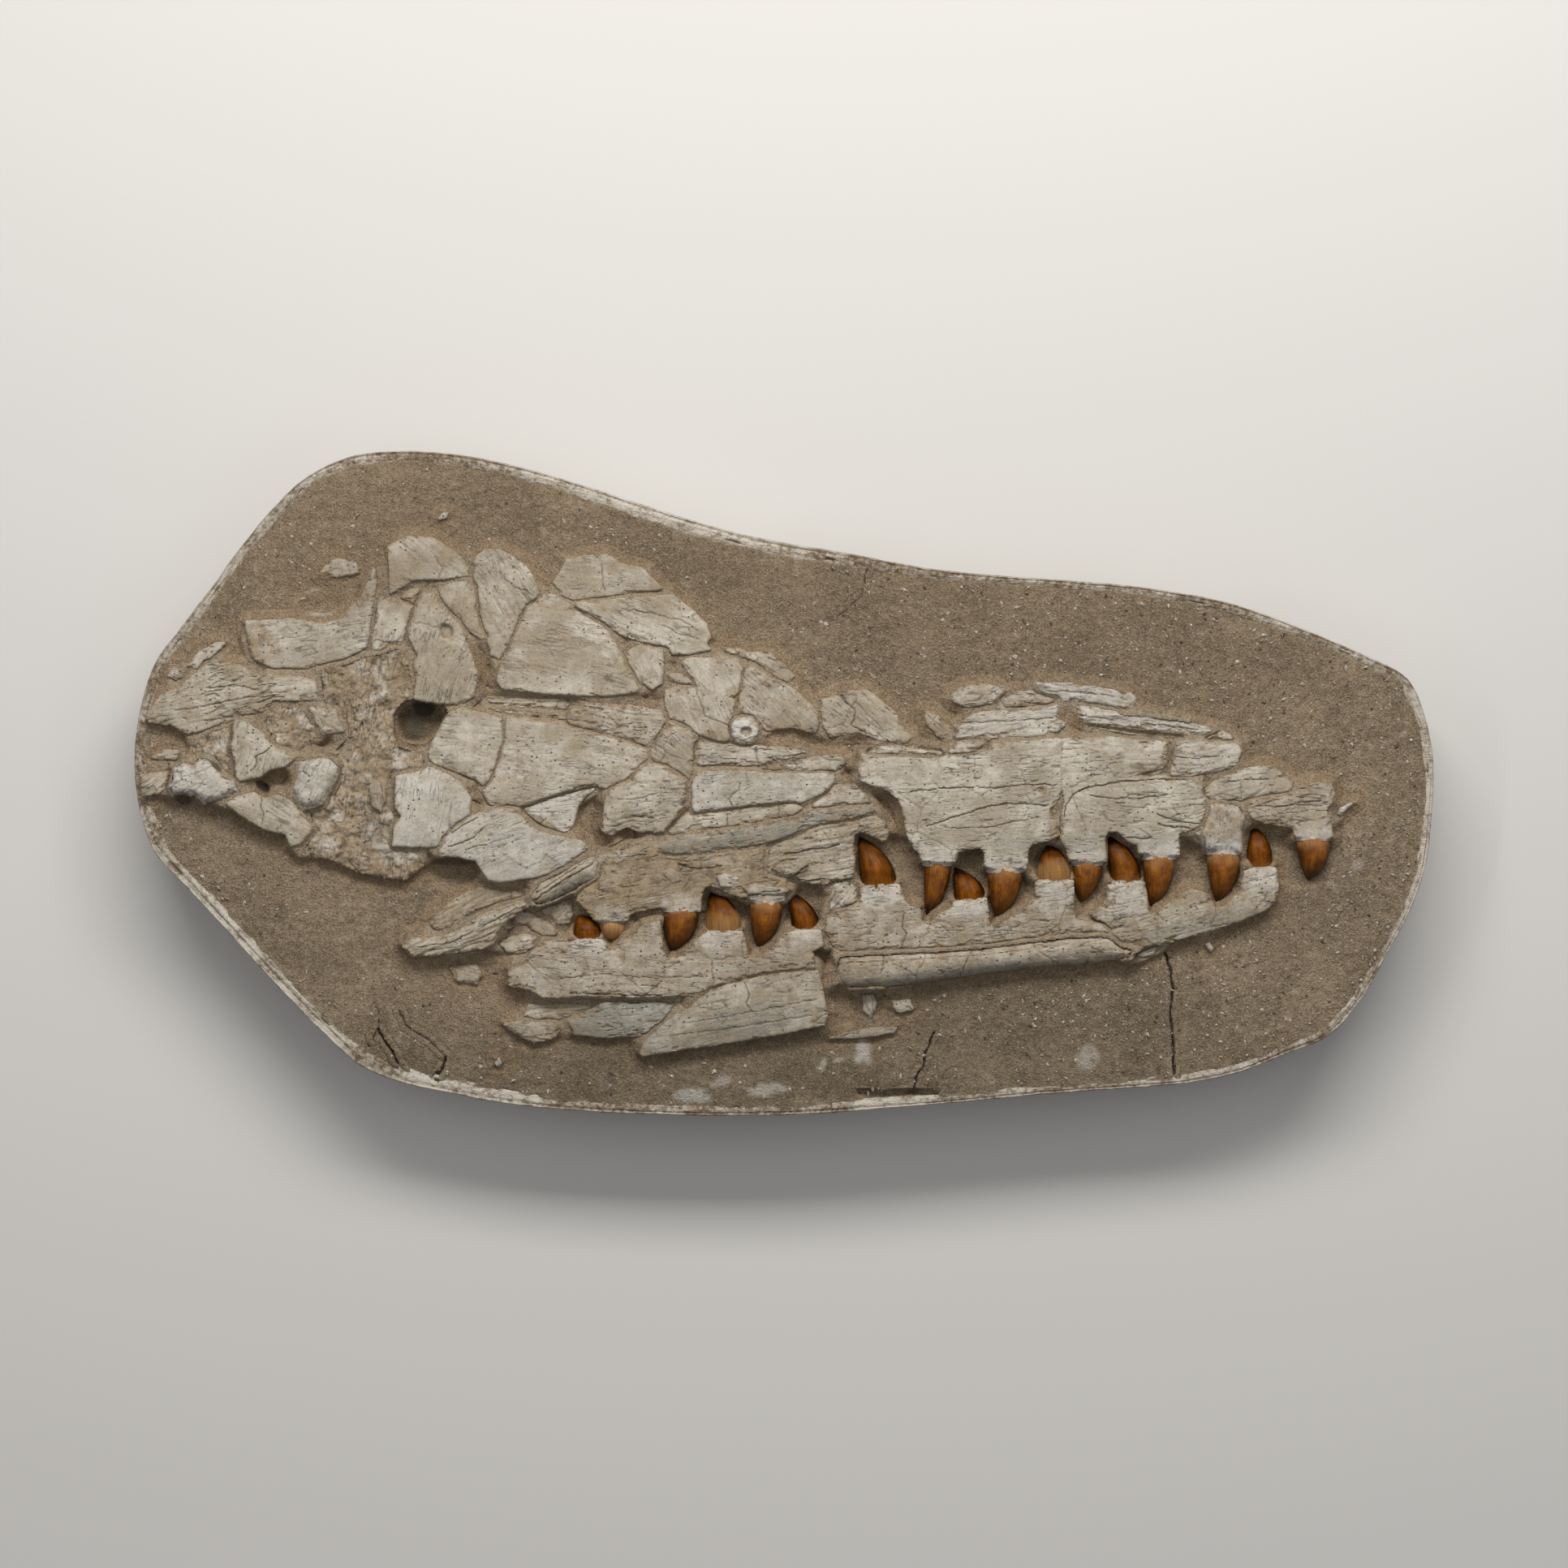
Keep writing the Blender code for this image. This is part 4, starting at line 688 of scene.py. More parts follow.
CHIPS = [ChipSpec(name, rise, pairs(run), *look) for name, rise, run, *look in (
    ("chip_temporal", 3.0, (-198.6, 91, -193, 91, -189.8, 88.3, -185.2, 89.4, -182.8, 87.2, -184, 81,
     -187, 75, -189, 69.6, -194.4, 69.6, -199, 66.5, -202.8, 66.5, -202, 72, -199.8, 80.3, -199.4, 87.2)),
    ("chip_temporal_edge", 2.4, (-188, 91.5, -184, 95, -180.5, 95.5, -180.5, 91, -182.5, 88, -186, 89.5)),
    ("chip_nasal", 3.4, (-57, 53.5, -50, 53, -46, 49.5, -44.7, 47.8, -50, 49, -56, 51)),
    ("sliver_midline", 2.0, (-146.5, 42, -118, 41.5, -107, 41, -100, 38, -106.5, 36.6, -127, 37.6,
     -142, 38.6), flaky(0.3, 0.35, ridges=1.2, build=SPLINT)),
    ("sliver_midline_low", 3.6, (-147, 37.4, -125, 35.6, -107, 33.8, -104, 31.0, -112, 31.4, -128, 33.0,
     -142, 35.2), flaky(0.3, 0.7, ridges=1.2, build=SPLINT)),
    ("chip_tabular", 2.2, (-264, 70, -257, 73, -252.5, 68, -253.4, 61, -258, 58.5, -263, 63),
     flaky(fray=0.8, grow=0.4, chalk=0.2, grey=0.15)),
    ("chip_fan_upper", 2.0, (-294, 58, -288, 65, -279, 70, -275, 69, -281, 63, -289, 56.5),
     flaky(fray=0.9, grow=0.4, chalk=0.2)),
    ("chip_fan_rear", 1.6, (-304, 53, -301, 57, -297, 56, -296, 52, -300, 50.5),
     flaky(fray=0.8, grow=0.4, chalk=0.3)),
    ("chip_orbit", 3.6, (-54, 28.5, -47.8, 25.7, -41, 14.8, -44.3, 11.6, -50.4, 18.7),
     flaky(stain=0.25, grain=-60)),
    ("chip_maxilla_top", 3.6, (82, 15.5, 86, 20, 98, 21, 99.5, 16.8, 90, 15), flaky(stain=0.1, chalk=0.1)),
    ("chip_brain_oval", 6.0, (-204, -1, -200, 2, -196, -1.5, -195.5, -9, -198, -14, -203, -11),
     flaky(0.8, 0.15, flaked=0.1)),
    ("flake_low_left", 1.6, (-142.6, -135.6, -140.6, -134.8, -138.8, -137.6, -140, -139.6, -142, -138.6),
     flaky(grow=0.2, chalk=0.9)),
    ("flake_high_left", 1.4, (-171, 130.4, -168, 133.4, -165, 133.6, -166, 130.6, -169.6, 129.6),
     flaky(grow=0.2, chalk=0.6)),
    ("flake_low_right", 1.4, (207.6, -79, 209.6, -77.6, 211.6, -81, 210.4, -83, 208.6, -81),
     flaky(grow=0.2, chalk=0.7)),
    ("chip_low_a", 1.6, (38, -104, 44, -103.4, 46, -108, 43, -116, 39, -112),
     flaky(fray=0.8, grow=0.3, chalk=0.2)),
    ("chip_low_b", 1.6, (53, -107, 62, -106.4, 64, -111, 57, -113, 53.6, -110.4),
     flaky(fray=0.8, grow=0.3, chalk=0.3)),
    ("chip_otic", 6.2, (-232.5, 36.6, -221, 36.6, -219.5, 30.5, -217.2, 26.3, -226.4, 24.7, -230.2, 29.7)),
    ("chip_quadrate", 3.0, (-316, 3.5, -303, 5.5, -304, 0, -308, -4, -315.4, -5)),
    ("chip_angular", 1.0, (-131, -62.5, -127, -62.3, -121.7, -65, -115.6, -68.1, -111.8, -72.5,
     -112.5, -75.2, -119.5, -74.8, -127.8, -69.9, -134, -69, -134, -66),
     flaky(stain=0.4, ridges=1.4, fray=0.9)),
    ("chip_cheek", 1.5, (-118.5, -62.5, -112, -60, -105.5, -57.5, -105, -64, -106, -68, -111, -68.5,
     -114, -66), flaky(stain=0.55, grain=14, ridges=1.8, fray=0.9)),
    ("chip_dentary", 1.1, (-139.5, -79, -134, -76, -129, -74.5, -123, -76, -124, -80, -128, -83, -136, -82),
     flaky(stain=0.35, ridges=1.6, fray=1.0)),
    ("chip_faint", 0.7, (-164, -91, -152, -89.5, -149.5, -95, -152, -98, -161, -96.5),
     flaky(stain=0.45, ridges=1.4, fray=1.0)),
    ("splinter_angular", 2.0, (-127.5, -114, -125.5, -109.5, -112, -109.5, -97, -107.5, -93, -108.5,
     -99, -112.5, -106.5, -115, -121, -115.8), flaky(0.4, 0.3, ridges=1.2, fray=0.6, build=SPLINT)),
    ("chip_maxilla", 7.6, (-6.4, -41.8, -3.3, -38.7, 1.3, -37.6, 8.2, -37.2, 12, -38.7, 11.2, -41.8,
     6.6, -44.4, 0, -44.8), flaky(0.8, 0.05)),
    ("chip_maxilla_low", 8.0, (-21, -50.4, -12, -48.6, 0, -50, 3.4, -52.6, -7, -55, -18, -54.4),
     flaky(stain=0.1, fray=0.8)),
    ("chip_maxilla_splinter", 7.6, (-85, -39.4, -80, -35, -74, -31.6, -60, -29.4, -59.6, -33.6, -72, -35.4,
     -82, -39.8), flaky(stain=0.2, grain=14, ridges=1.6, fray=0.7)),
    ("chip_maxilla_knob", 8.0, (-34.2, -45.3, -29.5, -43.8, -21.8, -46.2, -22, -50.4, -31, -50.8),
     flaky(fray=0.9, chalk=0.3)),
    ("chip_maxilla_flake", 7.9, (-60, -43.4, -55, -41.4, -50, -44, -49, -48, -55, -49, -58.4, -46),
     flaky(stain=0.1, fray=0.8)),
    ("chip_between_jaws", 4.8, (24, -50, 30, -48, 35, -50, 37, -56, 33, -60, 26, -62, 22, -64, 22, -58),
     flaky(1.4, 0.3, fray=0.9, grow=0.8, build=RUBBLE)),
    ("chip_snout_tan", 1.8, (107, 42, 112, 44.5, 124, 45, 135, 42, 128, 39.8, 118, 38.3, 110, 38.5),
     flaky(stain=0.7)),
    ("splinter_snout_lower", 2.0, (150, 29, 172, 25.5, 184, 24.2, 195, 23, 174, 24, 152, 28),
     flaky(0.3, 0.2, build=SPLINT)),
    ("chip_snout_end", 2.2, (209, 22, 212, 23.5, 216, 25, 219, 23.5, 220.5, 21.5)),
    ("splinter_bundle", 5.0, (164, 34.5, 172, 34.5, 182, 33.5, 199, 30.5, 178, 32.3, 168, 33),
     flaky(0.3, 0.05, build=SPLINT)),
    ("chip_bent", 2.6, (70, 35, 73, 35, 78, 30, 84, 25, 83, 22, 76, 24, 71, 29),
     flaky(stain=0.6, ridges=1.4)),
    ("ridge_maxilla", 3.4, (42, 15.5, 45, 17, 52, 18.3, 62, 17.5, 77, 15, 77, 14.2, 55, 14.3),
     flaky(0.3, 0.2, build=SPLINT)),
    ("chip_tip", 2.6, (271.5, -15.5, 273, -12.5, 278, -9.5, 282, -9.4, 277, -12.4, 274, -16.4),
     flaky(fray=0.7, grow=0.1, chalk=0.8)),
    ("splinter_dentary", 2.6, (172, -84, 178, -83, 183, -81, 181, -83.5, 177, -84.5)),
    ("chip_far_rear", 1.5, (-228, 103, -226, 108, -219, 110, -211, 108, -210, 104, -219, 102.6),
     flaky(stain=0.2, chalk=0.2)),
    ("chip_edge", 1.2, (-311, 13, -305, 16, -299, 15.6, -300, 12.4)),
    ("splinter_rock", 1.6, (20.7, -125.6, 32, -122.2, 42.2, -120.2, 55.9, -120.2, 54.4, -122.6,
     44.2, -124.5, 34, -125.6), flaky(0.5, 0.15, grow=0.3, grey=0.2, flaked=0.0, breaks=0.0)),
    ("chip_sliver_front", 6.8, (163, 2, 166, 5.6, 176, 8.4, 188, 8, 187, 3.6, 175, 2.4), flaky(stain=0.7)),
)]


# ---- Finishes ----


class Nodes:
    """A material's node tree, with short ways to add the nodes that the finishes share."""

    def __init__(self, name: str) -> None:
        """Makes an empty material of that name with its surface shader."""
        self.material = bpy.data.materials.new(name)
        self.material.use_nodes = True
        self.tree = self.material.node_tree
        self.shader = self.tree.nodes["Principled BSDF"]

    def add(self, kind: str, inputs: dict[str | int, Value] | None = None,
            **settings: str | bool) -> bpy.types.Node:
        """A node of a kind.

        Args:
            kind: the node's type name, without its ShaderNode prefix.
            inputs: sockets by name or number, each a value or a socket to link.
            settings: the node's own properties.

        Returns:
            The node.
        """
        node = self.tree.nodes.new("ShaderNode" + kind)
        for key, value in settings.items():
            setattr(node, key, value)
        for key, value in (inputs or {}).items():
            self.feed(node.inputs[key], value)
        return node

    def feed(self, entry: Socket, value: Value) -> None:
        """Gives an input a value, or links a socket to it."""
        if isinstance(value, Socket):
            self.tree.links.new(value, entry)
        else:
            entry.default_value = value

    def place(self) -> Socket:
        """The object's own coordinates."""
        return self.add("TexCoord").outputs["Object"]

    def noise(self, where: Socket, scale: float, detail: float = 3.0, wear: float = 0.55) -> Socket:
        """Cloudy noise from about 0.3 to 0.7."""
        inputs = {"Vector": where, "Scale": scale, "Detail": detail, "Roughness": wear}
        return self.add("TexNoise", inputs).outputs[0]

    def stretch(self, where: Socket, x: float, y: float) -> Socket:
        """Coordinates scaled along X and Y."""
        return self.add("Mapping", {"Vector": where, "Scale": (x, y, 1.0)}).outputs[0]

    def remap(self, value: Socket, low: float, high: float, start: float = 0.0, end: float = 1.0) -> Socket:
        """A value moved from one range to another, held at the ends."""
        return self.add("MapRange", {0: value, 1: low, 2: high, 3: start, 4: end}, clamp=True).outputs[0]

    def maths(self, operation: str, a: Value, b: Value = 0.0, clamp: bool = False) -> Socket:
        """One arithmetic step on values or sockets."""
        return self.add("Math", {0: a, 1: b}, operation=operation, use_clamp=clamp).outputs[0]

    def times(self, a: Value, b: Value, clamp: bool = False) -> Socket:
        """The product."""
        return self.maths("MULTIPLY", a, b, clamp)

    def plus(self, a: Value, b: Value = 0.0, clamp: bool = False) -> Socket:
        """The sum."""
        return self.maths("ADD", a, b, clamp)

    def mix(self, share: Value, first: Socket | Colour, second: Socket | Colour) -> Socket:
        """Two colours mixed by a share."""
        first, second = (c if isinstance(c, Socket) else (*c, 1.0) for c in (first, second))
        made = self.add("Mix", {"Factor": share, 6: first, 7: second}, data_type="RGBA")
        return made.outputs[2]

    def coat(self, colour: Socket, *layers: tuple[Value, Socket | Colour]) -> Socket:
        """A colour with layers over it, each a share and a colour."""
        for share, tone in layers:
            colour = self.mix(share, colour, tone)
        return colour

    def marks(self) -> list[Socket]:
        """The piece's own stain, chalk, grey and dark shares."""
        paint = self.add("Attribute", attribute_name="marks")
        split = self.add("SeparateColor", {0: paint.outputs["Color"]})
        return [*split.outputs, paint.outputs["Alpha"]]

    def grain(self) -> Socket:
        """Coordinates that run along and across the piece's grain."""
        return self.add("UVMap", uv_map="grain").outputs[0]

    def finish(self, colour: Value, roughness: Value, bump: Value, strength: float,
               distance: float) -> bpy.types.Material:
        """Gives the shader its colour, roughness and bump.

        Args:
            colour, roughness: values or sockets.
            bump: the height, or None for a flat finish.
            strength, distance: the bump's share, and its height in metres.

        Returns:
            The material.
        """
        self.feed(self.shader.inputs["Base Color"], colour)
        self.feed(self.shader.inputs["Roughness"], roughness)
        if bump is not None:
            raised = self.add("Bump", {"Height": bump, "Strength": strength, "Distance": distance})
            self.feed(self.shader.inputs["Normal"], raised.outputs[0])
        return self.material


@dataclass(frozen=True)
class BoneFinish:
    """Weathered fossil bone: pale, streaked along its grain and stained in its hollows."""

    name: str
    light: Colour = (0.520, 0.478, 0.398)
    shade: Colour = (0.325, 0.275, 0.198)
    tan: Colour = (0.285, 0.205, 0.115)
    umber: Colour = (0.145, 0.100, 0.055)
    grey: Colour = (0.228, 0.228, 0.202)
    chalk: Colour = (0.600, 0.575, 0.535)
    soil: Colour = (0.095, 0.068, 0.040)
    # Colour of the dark marks: dark cracks, clefts and spots, and painted shade in the holes
    soot: Colour = (0.050, 0.037, 0.022)
    streaks: float = 0.55

    def make(self) -> bpy.types.Material:
        """The finish as a material."""
        n = Nodes(self.name)
        where, grain = n.place(), n.grain()
        stain, chalk, grey, dark = n.marks()
        cloud = n.noise(where, 48, 4, 0.6)
        patch = n.noise(where, 150, 5, 0.65)
        fine = n.noise(where, 950, 3, 0.7)
        streak = n.noise(n.stretch(grain, 95, 1300), 1.0, 4, 0.65)
        broad = n.noise(n.stretch(grain, 32, 300), 1.0, 4, 0.6)
        soak = n.times(stain, n.remap(patch, 0.34, 0.60, 1.35, 0.45))
        soil = n.mix(n.remap(n.noise(where, 260, 3), 0.36, 0.58), self.umber, self.tan)
        thread = n.noise(n.stretch(grain, 55, 460), 1.0, 2, 0.5)
        thread = n.maths("ABSOLUTE", n.maths("SUBTRACT", thread, 0.5))
        hair = n.times(n.remap(thread, 0.018, 0.005), n.remap(n.noise(where, 75, 2), 0.48, 0.58))
        worn = n.times(self.streaks, n.remap(cloud, 0.62, 0.42, 0.35, 1.0))
        cells = n.add("TexVoronoi", {"Vector": where, "Scale": 430.0})
        picked = n.remap(n.add("SeparateColor", {0: cells.outputs["Color"]}).outputs[0], 0.60, 0.66)
        pit = n.times(n.remap(cells.outputs["Distance"], 0.27, 0.15), picked)
        pit = n.times(pit, n.remap(cloud, 0.42, 0.54, 0.25, 1.0))
        colour = n.coat(
            n.mix(n.remap(cloud, 0.40, 0.60), self.shade, self.light),
            (n.remap(patch, 0.50, 0.36, 0.0, 0.75), self.shade),
            (n.remap(broad, 0.53, 0.68, 0.0, 0.50), self.tan),
            (grey, self.grey),
            (n.times(chalk, n.remap(patch, 0.34, 0.52, 0.45, 1.0)), self.chalk),
            (n.plus(soak, 0.0, True), soil),
            (n.times(n.remap(streak, 0.44, 0.30), worn), self.umber),
            (n.times(hair, 0.3 + 0.8 * self.streaks), self.soil),
            (n.times(pit, 0.95), self.soil),
            (n.remap(fine, 0.46, 0.30, 0.0, 0.5), self.umber),
            (n.remap(fine, 0.56, 0.70, 0.0, 0.30), self.chalk),
            (dark, self.soot),
        )
        height = n.plus(n.times(streak, self.streaks), n.times(fine, 0.6))
        height = n.maths("SUBTRACT", height, n.times(n.maths("MAXIMUM", pit, hair), 0.8))
        return n.finish(colour, n.remap(cloud, 0.3, 0.7, 0.74, 0.9), height, 0.65, 0.0006)


# Tones of the bones by slot; what isn't given is the finish's own
BONE_TONES = {
    "bone": {},
    "pale_bone": {"light": (0.60, 0.575, 0.515), "shade": (0.42, 0.385, 0.315)},
    "stained_bone": {"light": (0.42, 0.355, 0.265), "shade": (0.26, 0.208, 0.135)},
    "grey_bone": {"light": (0.39, 0.385, 0.340), "shade": (0.25, 0.238, 0.192)},
}


@dataclass(frozen=True)
class RockFinish:
    """Sandy chalk: brown-grey, grainy, with pale shell grit and dark specks."""

    name: str = "sandy_chalk"
    light: Colour = (0.250, 0.184, 0.112)
    shade: Colour = (0.167, 0.120, 0.069)
    ochre: Colour = (0.226, 0.150, 0.079)
    silt: Colour = (0.272, 0.212, 0.140)
    ash: Colour = (0.390, 0.328, 0.242)
    chalk: Colour = (0.560, 0.520, 0.450)
    speck: Colour = (0.055, 0.040, 0.027)
    # Colour of the dark marks: dark grit and cracks, and painted shade in the holes and toward the rock's
    # far and near edges
    soot: Colour = (0.024, 0.019, 0.012)

    def make(self) -> bpy.types.Material:
        """The finish as a material."""
        n = Nodes(self.name)
        where = n.place()
        stain, chalk, grey, dark = n.marks()
        cloud = n.noise(where, 30, 4, 0.6)
        mottle = n.noise(where, 240, 4, 0.65)
        sand = n.noise(where, 1050, 2, 0.6)
        grain = n.noise(where, 2400, 1, 0.5)
        colour = n.coat(
            n.mix(n.remap(cloud, 0.38, 0.62), self.shade, self.light),
            (n.plus(n.times(stain, n.remap(mottle, 0.32, 0.60, 0.55, 1.1)), 0.0, True), self.ochre),
            (n.times(grey, n.remap(mottle, 0.30, 0.48, 0.4, 1.0)), self.silt),
            (n.remap(mottle, 0.46, 0.32, 0.0, 0.40), self.speck),
            (n.remap(mottle, 0.54, 0.70, 0.0, 0.45), self.ash),
            (n.remap(sand, 0.47, 0.32, 0.0, 0.58), self.speck),
            (n.remap(sand, 0.53, 0.68, 0.0, 0.48), self.ash),
            (n.remap(grain, 0.62, 0.76, 0.0, 0.55), self.chalk),
            (n.remap(grain, 0.38, 0.24, 0.0, 0.60), self.speck),
            (n.times(chalk, n.remap(mottle, 0.34, 0.52, 0.3, 1.0)), self.chalk),
            (dark, self.soot),
        )
        height = n.plus(n.plus(n.times(mottle, 1.6), n.times(sand, 1.0)), n.times(grain, 0.4))
        return n.finish(colour, n.remap(mottle, 0.3, 0.7, 0.86, 0.96), height, 0.8, 0.0011)


@dataclass(frozen=True)
class PlasterFinish:
    """Jacket plaster: off-white, rubbed with earth, with brown lines of sacking along the rim."""

    name: str = "jacket_plaster"
    light: Colour = (0.58, 0.53, 0.45)
    shade: Colour = (0.30, 0.245, 0.175)
    earth: Colour = (0.150, 0.100, 0.055)

    def make(self) -> bpy.types.Material:
        """The finish as a material."""
        n = Nodes(self.name)
        where, grain = n.place(), n.grain()
        earthy, white, _grey, _dark = n.marks()
        cloud = n.noise(where, 70, 5, 0.65)
        lines = n.noise(n.stretch(grain, 28, 700), 1.0, 4, 0.65)
        crumbs = n.noise(where, 420, 4, 0.7)
        weave = n.add("TexWave", {"Vector": n.stretch(grain, 330, 330), "Scale": 1.0, "Distortion": 4.0})
        soiled = n.plus(n.remap(cloud, 0.55, 0.40, 0.0, 0.5), earthy)
        colour = n.coat(
            n.mix(n.remap(cloud, 0.36, 0.62), self.shade, self.light),
            (n.times(white, n.remap(crumbs, 0.40, 0.52, 0.2, 1.0)), self.light),
            (n.times(soiled, n.remap(crumbs, 0.60, 0.42), True), self.earth),
            (n.remap(lines, 0.55, 0.66, 0.0, 0.75), self.earth),
            (n.remap(crumbs, 0.42, 0.30, 0.0, 0.7), self.earth),
        )
        height = n.plus(n.times(crumbs, 1.4), n.times(lines, 0.8))
        height = n.plus(height, n.times(weave.outputs[1], 0.2))
        return n.finish(colour, 0.92, height, 0.8, 0.0011)


@dataclass(frozen=True)
class EnamelFinish:
    """Fossil tooth: glossy amber enamel, darker at the tip, on a chalky root."""

    name: str
    honey: Colour = (0.345, 0.120, 0.006)
    amber: Colour = (0.130, 0.037, 0.002)
    umber: Colour = (0.026, 0.009, 0.002)
    ivory: Colour = (0.420, 0.235, 0.100)
    chalk: Colour = (0.470, 0.425, 0.360)
    polish: float = 0.10
    shine: float = 0.32

    def make(self) -> bpy.types.Material:
        """The finish as a material.

        The marks hold the place along the crown, the pale share, the darkness (the tip's own dark colour and
        painted shade along the flanks) and the root.
        """
        n = Nodes(self.name)
        where, grain = n.place(), n.grain()
        _along, pale, deep, root = n.marks()
        streak = n.noise(n.stretch(grain, 60, 1100), 1.0, 4, 0.6)
        cloud = n.noise(where, 190, 4, 0.6)
        crazing = n.noise(n.stretch(grain, 140, 2000), 1.0, 3, 0.6)
        worn = n.times(pale, n.remap(streak, 0.36, 0.60, 1.3, 0.6))
        bare = n.remap(n.plus(root, n.remap(cloud, 0.3, 0.7, -0.4, 0.4)), 0.42, 0.58)
        dusty = n.remap(n.noise(where, 600, 4, 0.65), 0.36, 0.6, 0.75, 0.0)
        colour = n.coat(
            n.mix(n.remap(cloud, 0.36, 0.62), self.amber, self.honey),
            (n.remap(streak, 0.56, 0.40, 0.0, 0.95), self.amber),
            # Umber over the dark tip and over the painted shade along the flanks
            (n.plus(n.times(deep, n.remap(streak, 0.35, 0.65, 1.6, 0.95)), 0.0, True), self.umber),
            (n.plus(worn, 0.0, True), self.ivory),
            (n.remap(crazing, 0.41, 0.31, 0.0, 0.8), self.umber),
            (bare, n.mix(dusty, self.chalk, self.ivory)),
        )
        n.shader.inputs["Specular IOR Level"].default_value = self.shine
        gloss = n.plus(n.remap(bare, 0.0, 1.0, self.polish, 0.85), n.times(worn, 0.15), True)
        return n.finish(colour, gloss, n.plus(streak, n.times(crazing, 0.5)), 0.45, 0.0005)


# ---- Meshes ----


def placed(name: str, data: bpy.types.ID) -> bpy.types.Object:
    """A new object of the scene that shows a mesh, a lamp or a camera."""
    made = bpy.data.objects.new(name, data)
    bpy.context.scene.collection.objects.link(made)
    return made


@dataclass
class Surface:
    """A closed surface as arrays: corners, faces of four and three, marks and grain."""

    spots: Array
    quads: Array
    triangles: Array
    marks: Array
    grain: Array

    def to_object(self, name: str, finish: bpy.types.Material, crease: float = 50.0) -> bpy.types.Object:
        """Makes the surface an object at the origin, in metres.

        Args:
            name: the piece's name.
            finish: its material.
            crease: edges bent by more than this many degrees stay sharp.

        Returns:
            The object.
        """
        mesh = bpy.data.meshes.new(name)
        corners = np.concatenate([self.quads.ravel(), self.triangles.ravel()]).astype(np.int32)
        fours, threes = np.arange(len(self.quads)) * 4, np.arange(len(self.triangles)) * 3
        starts = np.concatenate([fours, len(self.quads) * 4 + threes]).astype(np.int32)
        mesh.vertices.add(len(self.spots))
        mesh.vertices.foreach_set("co", (self.spots * MM).astype(np.float32).ravel())
        mesh.loops.add(len(corners))
        mesh.loops.foreach_set("vertex_index", corners)
        mesh.polygons.add(len(starts))
        mesh.polygons.foreach_set("loop_start", starts)
        mesh.update(calc_edges=True)
        mesh.polygons.foreach_set("use_smooth", np.ones(len(starts), bool))
        paint = mesh.attributes.new("marks", "FLOAT_COLOR", "POINT")
        paint.data.foreach_set("color", np.clip(self.marks, 0, 1).astype(np.float32).ravel())
        layer = mesh.uv_layers.new(name="grain")
        layer.data.foreach_set("uv", (self.grain[corners] * MM).astype(np.float32).ravel())
        mesh.set_sharp_from_angle(angle=math.radians(crease))
        mesh.materials.append(finish)
        return placed(name, mesh)


def boundary(faces: list[Array], count: int) -> tuple[Array, Array]:
    """The directed edges that only one face has, as arrays of starts and ends."""
    first = np.concatenate([f.ravel() for f in faces])
    second = np.concatenate([np.roll(f, -1, axis=1).ravel() for f in faces])
    lone = ~np.isin(first * count + second, second * count + first)
    return first[lone], second[lone]


def grid_faces(columns: int, rows: int) -> Array:
    """Faces of four of a grid whose corners are numbered row by row."""
    index = np.arange(columns * rows).reshape(rows, columns)
    corners = [index[:-1, :-1], index[:-1, 1:], index[1:, 1:], index[1:, :-1]]
    return np.stack(corners, axis=-1).reshape(-1, 4)


def sleeve_faces(rings: int, around: int) -> tuple[Array, Array]:
    """Faces of a closed sleeve whose corners are numbered ring by ring.

    Args:
        rings, around: how many rings there are, and corners in each.

    Returns:
        Faces of four between the rings, and fans that close the ends. The fans' middles are the
        two corners after the rings.
    """
    index = np.arange(rings * around).reshape(rings, around)
    after = np.roll(index, -1, axis=1)
    quads = np.stack([index[:-1], after[:-1], after[1:], index[1:]], axis=-1).reshape(-1, 4)
    low = np.stack([after[0], index[0], np.full(around, rings * around)], axis=1)
    high = np.stack([index[-1], after[-1], np.full(around, rings * around + 1)], axis=1)
    return quads, np.concatenate([low, high])


def pruned(quads: Array, triangles: Array, count: int) -> tuple[Array, Array, Array]:
    """Drops the faces at corners where their border passes twice.

    Args:
        quads, triangles: the faces.
        count: how many corners they are numbered by.

    Returns:
        The corners that are still used, and the faces by their new numbers.
    """
    for _ in range(8):
        first, _second = boundary([quads, triangles], count)
        spot, times = np.unique(first, return_counts=True)
        pinched = spot[times > 1]
        if not len(pinched):
            break
        quads, triangles = (f[~np.isin(f, pinched).any(axis=1)] for f in (quads, triangles))
    used, flat = np.unique(np.concatenate([quads.ravel(), triangles.ravel()]), return_inverse=True)
    return used, flat[:quads.size].reshape(-1, 4), flat[quads.size:].reshape(-1, 3)


def deepen(marks: Array, tint: Tint, share: Array | float) -> None:
    """Raises a tint's column of the marks to a share where it is below it."""
    marks[:, tint] = np.maximum(marks[:, tint], share)


def fill_loops(points: Array, first: Array, second: Array) -> Array:
    """Closes flat loops with triangles that face down.

    Args:
        points: the loops' corners as rows of x and y.
        first, second: the loops' edges, from corner to corner.

    Returns:
        The triangles as rows of three corners.
    """
    flat = bpy.data.meshes.new("loops")
    spots = np.column_stack([points, np.zeros(len(points))])
    flat.vertices.add(len(points))
    flat.vertices.foreach_set("co", spots.astype(np.float32).ravel())
    flat.edges.add(len(first))
    flat.edges.foreach_set("vertices", np.stack([first, second], axis=1).astype(np.int32).ravel())
    filled = bmesh.new()
    filled.from_mesh(flat)
    bmesh.ops.triangle_fill(filled, use_beauty=False, use_dissolve=False, edges=list(filled.edges))
    filled.to_mesh(flat)
    filled.free()
    faces = np.empty(len(flat.loops), np.int32)
    flat.loops.foreach_get("vertex_index", faces)
    bpy.data.meshes.remove(flat)
    faces = faces.reshape(-1, 3).astype(np.int64)
    a, b, c = (points[faces[:, k]] for k in range(3))
    up = (b - a)[:, 0] * (c - a)[:, 1] - (b - a)[:, 1] * (c - a)[:, 0] > 0
    faces[up] = faces[up][:, ::-1]
    return faces


